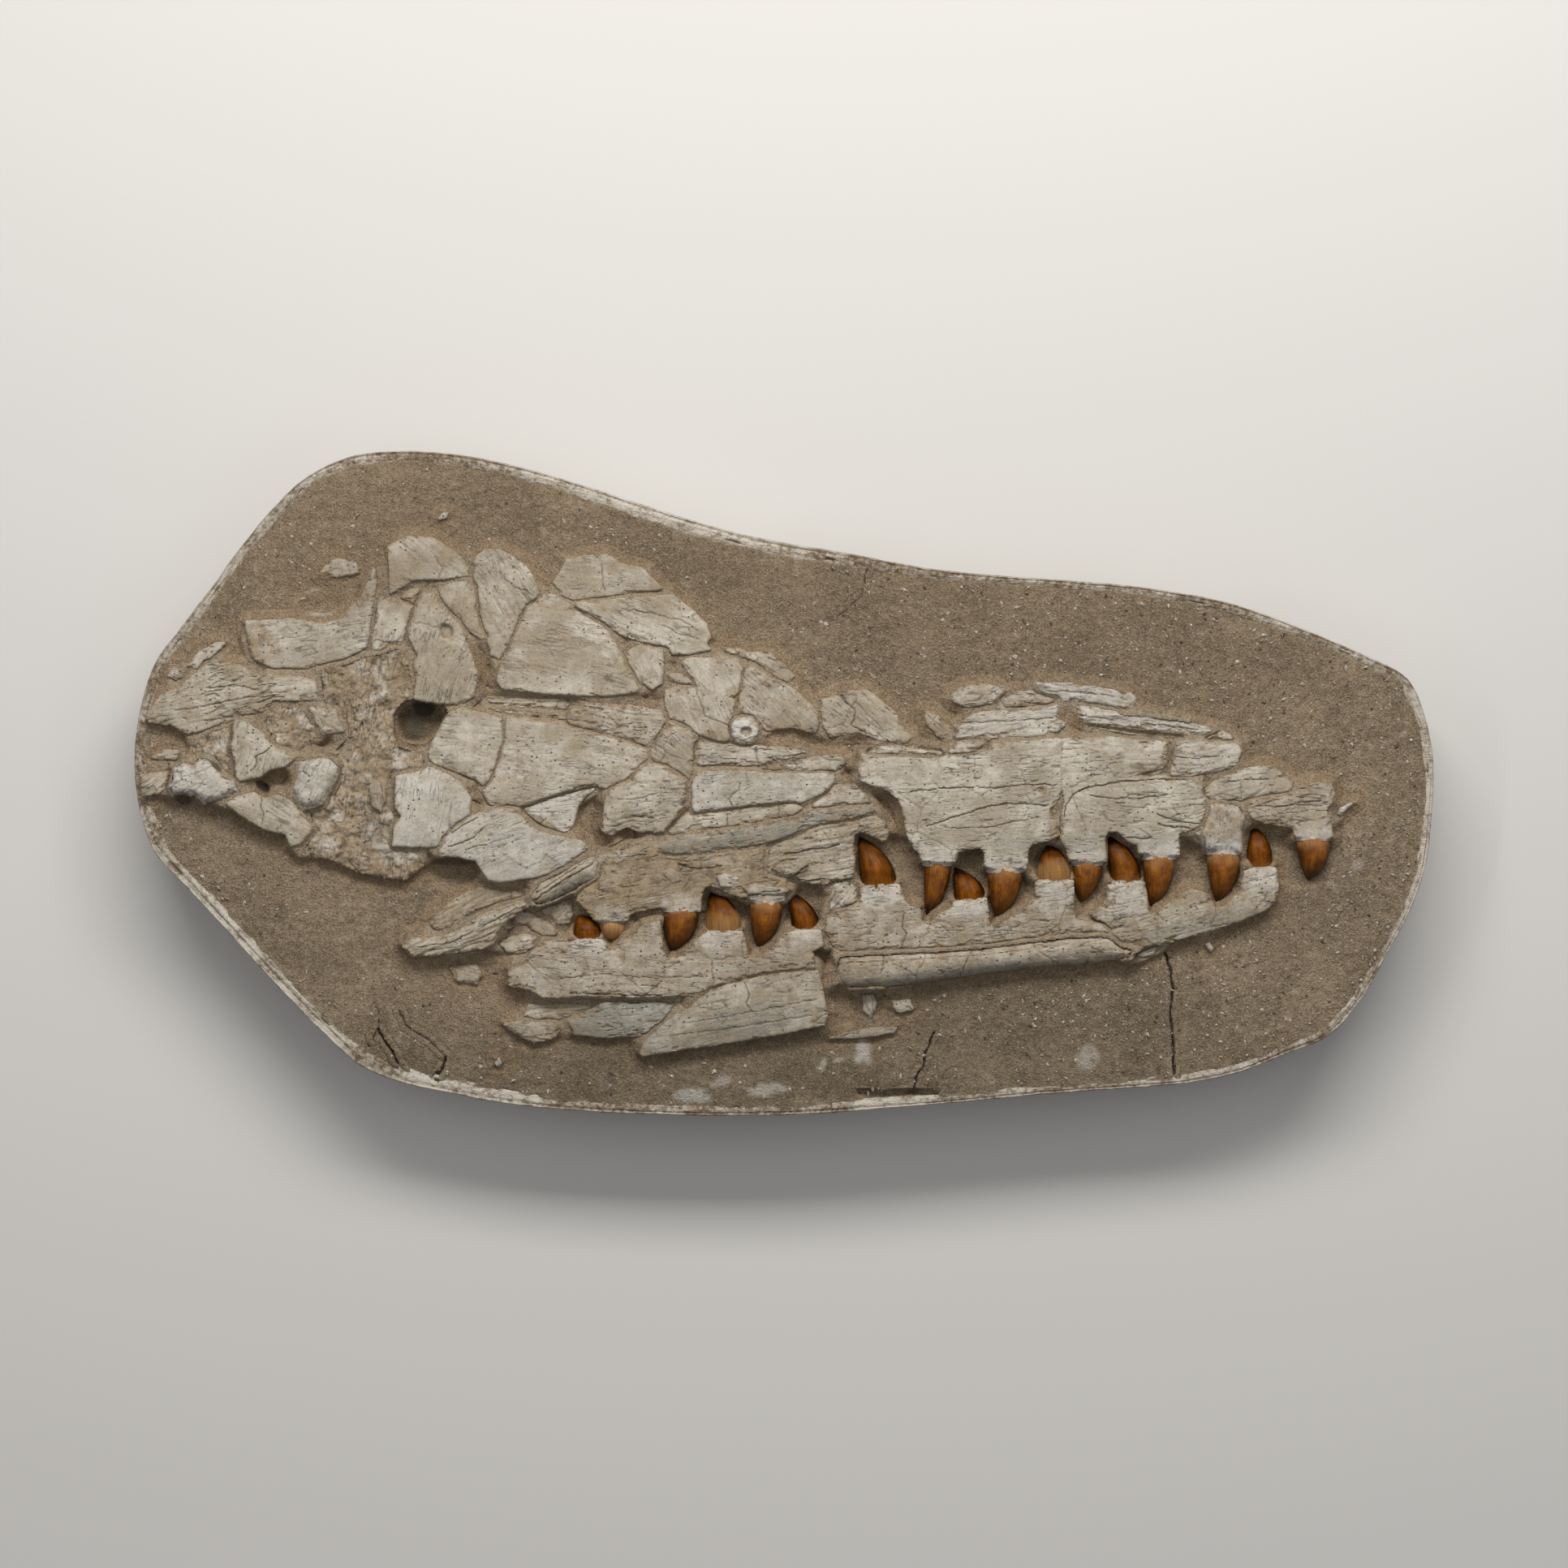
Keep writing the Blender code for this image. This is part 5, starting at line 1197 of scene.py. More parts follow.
@dataclass
class ReliefPiece:
    """A closed piece: a height over a square grid inside a frayed outline, walls and a flat foot."""

    name: str
    outline: Outline | Grown
    cell: float
    foot: float = BONE_FOOT
    fray: float = 0.35
    seed: int = 0
    wall_levels: tuple[float, ...] = (0.3, 0.65)
    whole_foot: bool = False
    fan_foot: bool = False

    def height(self, x: Array, y: Array, depth: Array) -> Array:
        """Level of the top at places of a given depth inside the outline."""
        raise NotImplementedError

    def paint(self, x: Array, y: Array, depth: Array, z: Array) -> Array:
        """Stain, chalk, grey and dark shares at places of the top."""
        raise NotImplementedError

    def lie(self, x: Array, y: Array) -> tuple[Array, Array]:
        """Coordinates along and across the grain."""
        return x, y

    def lattice(self) -> tuple[Array, Array, Array, Array, Array]:
        """Grid points inside the outline, drawn onto its edge where they come near it.

        Returns:
            The points, their depths, the inward directions, and faces of four and of three.
        """
        low, high = self.outline.box()
        low, high = low - 2.5 * self.cell, high + 2.5 * self.cell
        nx, ny = (np.ceil((high - low) / self.cell)).astype(int) + 1
        across, up = np.meshgrid(low[0] + np.arange(nx) * self.cell, low[1] + np.arange(ny) * self.cell)
        points = np.stack([across.ravel(), up.ravel()], axis=1)
        depth, inward = self.outline.depth(points)
        x, y = points.T
        depth = depth + self.fray * rough(x, y, 5.0, self.seed + 3, 3, 0.7) - 0.3 * self.fray
        near = np.abs(depth) < 0.5 * self.cell
        points[near] -= depth[near, None] * inward[near]
        depth[near] = 0.0
        cells = grid_faces(nx, ny)
        held = (depth >= 0)[cells]
        some = depth[cells].max(axis=1) > 0
        quads = cells[held.all(axis=1) & some]
        three = (held.sum(axis=1) == 3) & some
        triangles = [np.roll(cells, -k - 1, axis=1)[three & ~held[:, k], :3] for k in range(4)]
        used, quads, triangles = pruned(quads, np.concatenate(triangles), len(points))
        return points[used], depth[used], inward[used], quads, triangles

    def wall_inset(self, level: Array) -> Array:
        """How far the wall stands inside the top's edge at a level."""
        return np.zeros_like(level)

    def surface(self) -> Surface:
        """The whole closed surface: top, uneven walls and a foot.

        The walls go down from the top's rim in rings. The foot is a fan round its middle, or filled
        from the last ring, or where that leaves a gap, the top's own grid laid flat.
        """
        points, depth, inward, quads, triangles = self.lattice()
        x, y = points.T
        z = self.height(x, y, depth)
        marks = self.paint(x, y, depth, z)
        count = len(points)
        first, second = boundary([quads, triangles], count)
        rim = np.unique(first)
        size = len(rim)
        turn = np.full(count, -1)
        turn[rim] = np.arange(size)
        first, second = turn[first], turn[second]
        spots, paints, rows = [np.column_stack([points, z])], [marks], [rim]
        for k, level in enumerate((*self.wall_levels, 1.0)):
            down = z[rim] + (self.foot - z[rim]) * level
            lean = rough(x[rim] + 2.1 * down, y[rim] - 1.7 * down, 2.4, self.seed + 9, 2)
            lean = 0.25 * lean * (level < 1)
            ring = points[rim] + inward[rim] * (self.wall_inset(down) - lean)[:, None]
            rows.append(count + k * size + np.arange(size))
            spots.append(np.column_stack([ring, down]))
            paints.append(marks[rim])
        base = rows[-1][0] if size else count
        if self.fan_foot:
            spots.append(spots[-1].mean(axis=0, keepdims=True))
            paints.append(marks[:1])
            foot = np.stack([second, first, np.full(len(first), size)], axis=1)
        else:
            foot = fill_loops(spots[-1][:, :2], first, second)
        bottom = [np.empty((0, 4), np.int64), foot + base]
        a, b = boundary([foot], size + 1)
        closed = len(a) == len(first) and np.isin(a * size + b, second * size + first).all()
        if self.whole_foot or not (closed or self.fan_foot):
            spots[-1] = np.column_stack([points, np.full(count, self.foot)])
            paints[-1] = marks
            rows[-1] = base + rim
            bottom = [quads[:, ::-1] + base, triangles[:, ::-1] + base]
        walls = [
            np.stack([p[first], q[first], q[second], p[second]], axis=1) for p, q in zip(rows, rows[1:])
        ]
        spots, paints = np.concatenate(spots), np.concatenate(paints)
        along, across = self.lie(spots[:, 0], spots[:, 1])
        grain = np.stack([along, across + 0.6 * (FACE - spots[:, 2])], axis=1)
        quads = np.concatenate([quads, bottom[0], *walls])
        triangles = np.concatenate([triangles, bottom[1]])
        return Surface(spots, quads, triangles, paints, grain)

    def build(self, finish: bpy.types.Material) -> bpy.types.Object:
        """Makes the piece in its finish."""
        return self.surface().to_object(self.name, finish)


def cracks_at(x: Array, y: Array, cracks: list[Crack], spread: float = 1.0) -> tuple[Array, Array]:
    """How deep the cracks cut at each place, and how dark they make it.

    A crack is a groove whose width comes and goes along it.

    Args:
        x, y: the places.
        cracks: the lines.
        spread: how many times wider the grooves are.

    Returns:
        Depths in millimetres, and shares of darkness.
    """
    cut, dark = np.zeros_like(x), np.zeros_like(x)
    for crack in cracks:
        close = crack.near(x, y, 3 * spread * crack.width + 3)
        if close.any():
            u, v = x[close], y[close]
            vary = 0.75 + 0.7 * rough(u, v, 6.0, 81, 2)
            half = spread * crack.width * np.clip(vary, 0.15, 1.4)
            share = 1 - band(crack.gap(u, v), 0.2 * half, 0.75 * half + 0.22)
            share = share * band(vary, 0.2, 0.5)
            cut[close] = np.maximum(cut[close], crack.depth * share)
            dark[close] = np.maximum(dark[close], share * min(1.0, 0.3 + 0.5 * crack.depth))
    return cut, dark


def patches_at(x: Array, y: Array) -> tuple[Array, Array]:
    """Stain, chalk, grey and dark shares of the painted patches, and how much they raise."""
    paint, rise = np.zeros((len(x), 4)), np.zeros_like(x)
    for patch in PATCHES:
        share = patch.share(x, y)
        deepen(paint, patch.tint, share * patch.amount)
        rise += share * patch.rise
    return paint, rise


@dataclass
class Wear:
    """What time has left on a bone's top, as shares from 0 to 1 but for the lines and the step.

    The lines run along the grain from about -1 to 1. The step is the level of each broken block
    in millimetres.
    """

    lines: Array
    flaked: Array
    split: Array
    broken: Array
    step: Array
    cut: Array
    dark: Array


@dataclass
class Bone(ReliefPiece):
    """One bone: its look, and the plane of its top as level, slope along X and slope along Y."""

    look: BoneLook = field(default_factory=BoneLook)
    plane: tuple[float, float, float] = (FACE + 3.0, 0.0, 0.0)
    crowns: list[Crown] = field(default_factory=list)

    def lie(self, x: Array, y: Array) -> tuple[Array, Array]:
        """Coordinates along and across the grain, which turns by the look's angle."""
        turn = self.outline.heading() if self.look.grain is None else math.radians(self.look.grain)
        sway = 1.2 * ripple(x, y, 34.0, self.seed + 21)
        return x * math.cos(turn) + y * math.sin(turn), y * math.cos(turn) - x * math.sin(turn) + sway

    def wear(self, x: Array, y: Array, depth: Array) -> Wear:
        """Weathering at places of the top.

        Flakes are missing where noise stretched along the grain passes a limit, and more so at the
        edges. Splits follow the zero lines of such noise, and breaks the borders of large shards.
        """
        look, seed = self.look, self.seed
        along, across = self.lie(x, y)
        lines = rough(along / 9.0, across / 1.25, 1.6, seed + 5, 3, 0.6)
        loss = rough(along / 13.0, across / 5.5, 1.0, seed + 30, 4, 0.62)
        loss = loss + 0.35 * (1 - band(depth, 0.0, 4.0))
        limit = 0.62 - 0.75 * look.flaked
        wave = ripple(along / 24.0, across / 3.6, 1.0, seed + 40)
        wave = wave + 0.3 * ripple(along / 8.0, across / 1.8, 1.0, seed + 41)
        split = (1 - band(np.abs(wave), 0.02, 0.10)) * band(rough(x, y, 22.0, seed + 42, 2), 0.02, 0.22)
        bent = 2.4 * rough(x, y, 9.0, seed + 50, 3)
        value, border = shards(x + bent, y - bent, 23.0, seed + 52)
        broken = (1 - band(border, 0.10, 0.42)) * band(rough(x, y, 26.0, seed + 53, 2), -0.1, 0.15)
        cut, dark = cracks_at(x, y, CRACKS)
        return Wear(lines, band(loss, limit, limit + 0.07), split, broken * min(1.0, 1.4 * look.breaks),
                    (value - 0.5) * 0.9 * look.breaks, cut, dark)

    def height(self, x: Array, y: Array, depth: Array) -> Array:
        """Level of the top: its plane, doming by build, wear, cracks, patches and tooth sockets."""
        look, seed = self.look, self.seed
        top = self.plane[0] + self.plane[1] * x + self.plane[2] * y
        rise = top - FACE
        along, across = self.lie(x, y)
        self.worn = worn = self.wear(x, y, depth)
        fine = rough(x, y, 2.2, seed + 6, 2)
        if look.build is ROD:
            reach = 0.9 * depth.max()
            z = FACE + rise * (0.35 + 0.65 * dome(depth, reach)) + look.swell * dome(depth, reach)
        elif look.build is BOSS:
            z = FACE + rise * (0.45 + 0.55 * dome(depth, 4.5)) + look.swell * dome(depth, 0.8 * depth.max())
            z = z + 0.9 * rough(x, y, 7.0, seed + 7, 4, 0.65)
        elif look.build is RUBBLE:
            lumps = rough(x, y, 11.0, seed + 18, 4, 0.62)
            self.flake = self.flakes(x, y)
            z = top - 1.7 + 2.5 * lumps + 0.5 * self.flake - 0.9 * (1 - dome(depth, 2.2)) + 0.4 * look.swell
        elif look.build is SPLINT:
            slats = 1 - np.abs(ripple(along / 18.0, across / 2.7, 1.0, seed + 10)) * 1.8
            z = top - 0.3 - 0.5 * look.ridges * (1 - slats) - 0.8 * (1 - dome(depth, 1.3))
            z = z + look.swell * (1 - np.exp(-depth / 3))
        else:
            z = top - 0.5 * (1 - dome(depth, 0.9)) + 0.8 * look.swell * (1 - np.exp(-depth / 7.0))
        z = z + 0.15 * look.ridges * worn.lines + 0.08 * fine
        z = z + 0.55 * rough(x, y, 19.0, seed + 11, 2) + 0.28 * rough(x, y, 6.5, seed + 13, 2)
        z = z - 0.6 * worn.flaked - 0.30 * look.ridges * worn.split - 0.5 * worn.broken + worn.step
        _paint, lift = patches_at(x, y)
        z = z - worn.cut + lift
        for crown in self.crowns:
            back, aside = crown.inside_jaw(x, y)
            half = 0.5 * crown.width + 0.5
            root = TOOTH_BED + TOOTH_RISE * crown.width * (
                TOOTH_LIFT + np.sqrt(np.clip(1 - (aside / (half + 0.2)) ** 2, 0, 1)))
            root = root - 0.05 * np.clip(back - 2.0, 0, None) ** 1.8
            root = root - 5.0 * band(np.abs(aside), half - 0.6, half + 2.6)
            root = root + 0.6 * rough(x, y, 4.0, seed + 60, 4) - 0.1
            close = (back > -4) & (back < 14) & (np.abs(aside) < half + 2)
            blend = np.clip(0.5 + 0.5 * (root - z) / 0.8, 0, 1)
            merged = z + (root - z) * blend + 0.8 * blend * (1 - blend)
            before = band(back + 1.3 * rough(x, y, 5.0, seed + 61, 3), -1.5, 0.6)
            z = np.where(close, merged * before + np.minimum(root, merged) * (1 - before), z)
        return np.maximum(z, self.foot + 0.8)

    def flakes(self, x: Array, y: Array) -> Array:
        """Share of a scattered bone flake: shards of bent outline, of which a third are kept."""
        bend = 2.2 * rough(x, y, 5.0, self.seed + 16, 3)
        value, border = shards(x + bend, y + 0.7 * bend, 6.2, self.seed + 8)
        return band(value, 0.60, 0.66) * band(border, 0.10, 0.75)

    def paint(self, x: Array, y: Array, depth: Array, z: Array) -> Array:
        """Tints: stained towards edges and hollows, dark in cracks, chalky round the tooth roots."""
        look, seed, worn = self.look, self.seed, self.worn
        # The patches also lay their painted shade into the holes that they sink in the bones
        marks, _lift = patches_at(x, y)
        own = 0.10 * math.sin(seed)
        deepen(marks, Tint.STAIN, look.stain + own)
        edge = 0.5 * (1 - band(depth + 1.0 * rough(x, y, 5.0, seed + 14, 2), 0.0, 1.7))
        furrows = 0.22 * band(-worn.lines, 0.15, 0.6) * min(look.ridges, 1.6)
        marks[:, Tint.STAIN] += edge + 0.40 * worn.flaked + furrows
        if look.build is RUBBLE:
            pale = band(rough(x, y, 13.0, seed + 17, 3), 0.05, 0.35)
            marks[:, Tint.STAIN] -= 0.35 * self.flake + 0.3 * pale
            deepen(marks, Tint.CHALK, 0.45 * pale)
            marks[:, Tint.DARK] += 0.65 * band(-rough(x, y, 5.0, seed + 19, 3), 0.26, 0.5)
        deepen(marks, Tint.CHALK, look.chalk - own)
        deepen(marks, Tint.GREY, look.grey)
        for crown in self.crowns:
            back, aside = crown.inside_jaw(x, y)
            half = 0.5 * crown.width
            ragged = 2.6 * rough(x, y, 6.0, seed + 15, 3)
            share = 1 - band(np.abs(aside) + ragged, half, half + 3.5)
            share = (1 - band(back + ragged, 3.0, 12.0)) * share * (back > -6)
            deepen(marks, Tint.CHALK, 0.4 * share)
            marks[:, Tint.STAIN] *= 1 - 0.7 * share
        cleft = np.maximum(0.5 * worn.split, 0.6 * worn.broken)
        deepen(marks, Tint.DARK, np.maximum(0.85 * worn.dark, cleft))
        return marks


def top_plane(node: str, outline: Outline) -> tuple[float, float, float]:
    """Plane of a packed bone's top edge, fitted to the corners above its outline's corners.

    Args:
        node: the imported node.
        outline: its foot outline.

    Returns:
        The level at the origin and the slopes along X and Y, raised by the solid's edge bevel.
    """
    bevel = 1.1
    spots, _triangles = welded(node)
    corners = {tuple(p) for p in np.round(outline.start, 2)}
    above = np.array([p for p in spots if p[2] > BONE_FOOT + 1.5 and tuple(np.round(p[:2], 2)) in corners])
    fit = np.column_stack([np.ones(len(above)), above[:, :2]])
    level, along, up = np.linalg.lstsq(fit, above[:, 2] + bevel, rcond=None)[0]
    return float(level), float(along), float(up)


@dataclass
class Beside:
    """What lies next to places: the nearest bone and the second nearest.

    Distances go outwards from a bone's edge and are negative inside it. The tops are the levels
    of the two bones there, and the way is the unit direction to the nearest.
    """

    near: Array
    top: Array
    way: Array
    far: Array
    far_top: Array

    def some(self, kept: Array) -> "Beside":
        """The same for some of the places."""
        return Beside(*(getattr(self, row.name)[kept] for row in fields(self)))


@dataclass
class BoneBed:
    """Outlines and top planes of all bones and fragments that lie in the rock."""

    outlines: dict[str, Outline] = field(default_factory=dict)
    planes: dict[str, tuple[float, float, float]] = field(default_factory=dict)
    growths: dict[str, float] = field(default_factory=dict)
    loose: set[str] = field(default_factory=set)
    reach: float = 13.0

    def add(self, name: str, outline: Outline, plane: tuple[float, float, float], growth: float) -> None:
        """Notes one more bone. One that lies on another bone is loose and doesn't grow."""
        if any((other.depth(outline.start)[0] > 0.3).any() for other in self.outlines.values()):
            self.loose.add(name)
            growth = 0.2
        self.outlines[name], self.planes[name], self.growths[name] = outline, plane, growth

    def grown(self, name: str) -> Grown:
        """A bone's outline, grown among its neighbours."""
        own = self.outlines[name]
        low, high = own.box()
        others, seams = [], []
        for other, outline in self.outlines.items():
            first, last = outline.box()
            apart = (first > high + self.reach).any() or (last < low - self.reach).any()
            if other != name and not apart and other not in self.loose and name not in self.loose:
                others.append(outline)
                seams.append(LAPS.get((name, other), HALF_SEAM))
        return Grown(own, others, self.growths[name], seams)

    def beside(self, x: Array, y: Array) -> Beside:
        """What lies next to each place, within the reach, with the bones grown."""
        count = len(x)
        side = Beside(np.full(count, self.reach), np.full(count, FACE), np.zeros((count, 2)),
                      np.full(count, self.reach), np.full(count, FACE))
        grow, far_grow = np.zeros(count), np.zeros(count)
        for name, outline in self.outlines.items():
            low, high = outline.box()
            close = (x > low[0] - self.reach) & (x < high[0] + self.reach)
            close = np.flatnonzero(close & (y > low[1] - self.reach) & (y < high[1] + self.reach))
            if not len(close):
                continue
            u, v = x[close], y[close]
            depth, inward = outline.depth(np.stack([u, v], axis=1))
            plane = self.planes[name]
            gap, top = -depth, plane[0] + plane[1] * u + plane[2] * v
            first = gap < side.near[close]
            second = ~first & (gap < side.far[close])
            a, b = close[first], close[second]
            side.far[a], side.far_top[a], far_grow[a] = side.near[a], side.top[a], grow[a]
            side.near[a], side.top[a], side.way[a] = gap[first], top[first], inward[first]
            side.far[b], side.far_top[b] = gap[second], top[second]
            grow[a] = far_grow[b] = self.growths[name]
        lead = 0.5 * (side.near - side.far) + HALF_SEAM
        behind = 0.5 * (side.far - side.near) + HALF_SEAM
        side.near = np.maximum(side.near - grow, lead)
        side.far = np.maximum(side.far - far_grow, behind)
        return side


@dataclass
class RockFace(ReliefPiece):
    """The rock: scooped and pitted, cut back between the jaws, with a groove around each bone."""

    bed: BoneBed = field(default_factory=BoneBed)

    def wall_inset(self, level: Array) -> Array:
        """The wall follows the tray's hollow, which narrows towards its floor."""
        return np.interp(level, (TRAY_FLOOR, 14.0, 26.0, RIM_TOP), (7.6, 2.7, 0.1, 0.0))

    def level(self, x: Array, y: Array, side: Beside) -> Array:
        """Level of the rock: waves, lumps, grain and pits, less the hollows and the grooves."""
        z = FACE - 0.6 + 0.9 * rough(x, y, 46.0, 201, 2) + 0.6 * rough(x, y, 13.0, 202, 3)
        z = z + 0.35 * rough(x, y, 5.0, 203, 2) - 0.7 * band(rough(x, y, 7.5, 204, 2), 0.42, 0.66)
        mouth = MOUTH.depth_at(x, y)
        z = z - MOUTH_CUT * band(mouth + 1.5 * rough(x, y, 9.0, 205, 2), -2.5, 2.5)
        hole = FORAMEN.depth_at(x, y)
        steep = 0.72 + 0.28 * band(0.6 * (x + 179) + (y - 30), -5.0, 6.0)
        z = z - FORAMEN_CUT * steep * band(hole + 0.8 * rough(x, y, 5.0, 206, 3), -0.6, 4.6 - 1.6 * steep)
        z = z - CHEEK_CUT * band(CHEEK_HOLLOW.depth_at(x, y), -3.5, 6.5)
        _paint, lift = patches_at(x, y)
        return z - 0.9 * np.exp(-((side.near - 1.0) / 1.7) ** 2) + 0.6 * lift

    def height(self, x: Array, y: Array, depth: Array) -> Array:
        """Level of the rock, sunk under the bones, along the cracks and at the slab's rim."""
        self.side = self.bed.beside(x, y)
        z = self.level(x, y, self.side) - 1.0 * band(-self.side.near, 0.0, 2.5)
        for crack in ROCK_CRACKS:
            close = crack.near(x, y, 8.0)
            away = crack.gap(x[close], y[close])
            z[close] -= (crack.depth + 0.8) * (1 - band(away, 1.4, 3.4))
        return z - 1.2 * (1 - dome(depth, 2.4)) - 0.8 * (1 - band(depth, 0.0, 14.0))

    def tints(self, x: Array, y: Array, depth: Array, side: Beside) -> Array:
        """Tan beside the bones and in patches, chalky at the slab's rim, dark in the holes."""
        marks, _lift = patches_at(x, y)
        near = 1 - band(side.near + 3.5 * rough(x, y, 12.0, 211, 3), 1.5, 11.0)
        wide = np.maximum(side.near, 0) + np.maximum(side.far, 0)
        packed = 1 - band(wide + 2.0 * rough(x, y, 9.0, 214, 3), 2.5, 8.0)
        marks[:, Tint.STAIN] *= 0.9
        deepen(marks, Tint.STAIN, 0.9 * near * (1 - 0.6 * packed))
        marks[:, Tint.GREY] = 0.9 * packed
        pale = (1 - band(depth + 2.0 * rough(x, y, 11.0, 212, 3), 0.2, 2.6)) * 0.6
        blotch = band(rough(x, y, 15.0, 213, 3), 0.55, 0.72) * 0.30
        marks[:, Tint.CHALK] *= 0.8
        deepen(marks, Tint.CHALK, np.maximum(pale, blotch))
        # Painted shade in the opening of the skull roof, lighter towards its right side
        hole = FORAMEN.depth_at(x, y)
        deepen(marks, Tint.DARK, (0.66 - 0.26 * band(x, -182, -172)) * band(hole, 0.0, 3.0))
        return marks

    def paint(self, x: Array, y: Array, depth: Array, z: Array) -> Array:
        """The rock's tints."""
        return self.tints(x, y, depth, self.side)


@dataclass
class Fill(ReliefPiece):
    """Fine matrix: it fills narrow gaps almost to the bones' tops, banks up against single edges
    and carries the rock's cracks. Elsewhere it dips below the rock.
    """

    ground: RockFace | None = None
    span: Point = (0.0, 1.0)
    whole_foot: bool = True

    def lattice(self) -> tuple[Array, Array, Array, Array, Array]:
        """Grid points of the span that lie beside bones or cracks, with the faces between them."""
        low, high = -150.0, 142.0
        nx = int(round((self.span[1] - self.span[0]) / self.cell)) + 1
        ny = int(round((high - low) / self.cell)) + 1
        across, up = np.meshgrid(self.span[0] + np.arange(nx) * self.cell, low + np.arange(ny) * self.cell)
        x, y = across.ravel(), up.ravel()
        side = self.ground.bed.beside(x, y)
        wide = np.maximum(side.near, 0) + side.far
        keep = (side.near > -1.5) & ((side.near < 6.4) | (wide < 11.5))
        crack = np.full(len(x), 9.0)
        for line in ROCK_CRACKS:
            close = line.near(x, y, 6.0)
            crack[close] = np.minimum(crack[close], line.gap(x[close], y[close]))
        keep |= (crack < 4.6) & (side.near > 0)
        hole = FORAMEN.depth_at(x, y)
        keep |= hole > -2.6
        cells = grid_faces(nx, ny)
        quads = cells[keep[cells].all(axis=1)]
        points = np.stack([x, y], axis=1)
        edge = np.full(len(x), -1.0)
        used = np.unique(quads)
        edge[used] = self.outline.depth(points[used])[0]
        quads = quads[(edge[quads] > 1.2).all(axis=1)]
        used, quads, triangles = pruned(quads, np.empty((0, 3), np.int64), len(x))
        self.side, self.crack = side.some(used), crack[used]
        return points[used], edge[used], np.zeros((len(used), 2)), quads, triangles

    def height(self, x: Array, y: Array, depth: Array) -> Array:
        """Level of the fill.

        Between two bones it is the mean of their tops, weighted by nearness, less a little. Beside
        one bone it falls off from the bone's edge to below the rock.
        """
        side, ground = self.side, self.ground.level(x, y, self.side)
        out, far = np.maximum(side.near, 0), np.maximum(side.far, 0.05)
        level = (side.top * far + side.far_top * out) / (out + far)
        share = 1 - band(out + far, 4.5, 10.5)
        mouth = MOUTH.depth_at(x, y)
        share = share * (1 - 0.3 * band(mouth, -3.0, 0.5))
        sink = 0.8 + 0.13 * (out + far) + 0.40 * rough(x, y, 6.0, 221, 3) + 0.15 * ripple(x, y, 1.9, 225)
        sunny = side.way[:, 0] * 0.5 - side.way[:, 1] * 0.85
        low = 1 - band(y + 0.12 * x, -30, 12)
        bank = 0.50 + 0.30 * (1 - low) + (0.1 + 0.28 * low) * sunny + 0.4 * ripple(x, y, 21.0, 222)
        bank = np.clip(bank, 0.06, 0.94) * (1 - 0.15 * band(mouth, -2.0, 1.0))
        ledge = ground + bank * (side.top - 0.6 - ground) * np.exp(-((out / (1.4 + 2.2 * bank)) ** 1.5))
        ledge = ledge + 0.2 * ripple(x, y, 2.4, 223) - 0.9 * band(out, 3.6, 6.0)
        z = ledge + (level - sink - ledge) * share
        line = ground + 0.15 - 1.0 * band(self.crack, 2.9, 4.1)
        z = np.where((self.crack < 4.6) & (share < 0.2), np.maximum(line, z), z)
        hole = FORAMEN.depth_at(x, y)
        crust = ground + 0.1 + 0.5 * rough(x, y, 3.5, 226, 3) - 0.9 * band(-hole, 1.0, 2.2)
        z = np.where(hole > -2.2, crust, z)
        cut, self.dark = cracks_at(x, y, ROCK_CRACKS)
        return z - cut

    def paint(self, x: Array, y: Array, depth: Array, z: Array) -> Array:
        """The rock's tints, with dark cracks."""
        marks = self.ground.tints(x, y, depth, self.side)
        deepen(marks, Tint.DARK, 0.8 * self.dark)
        return marks


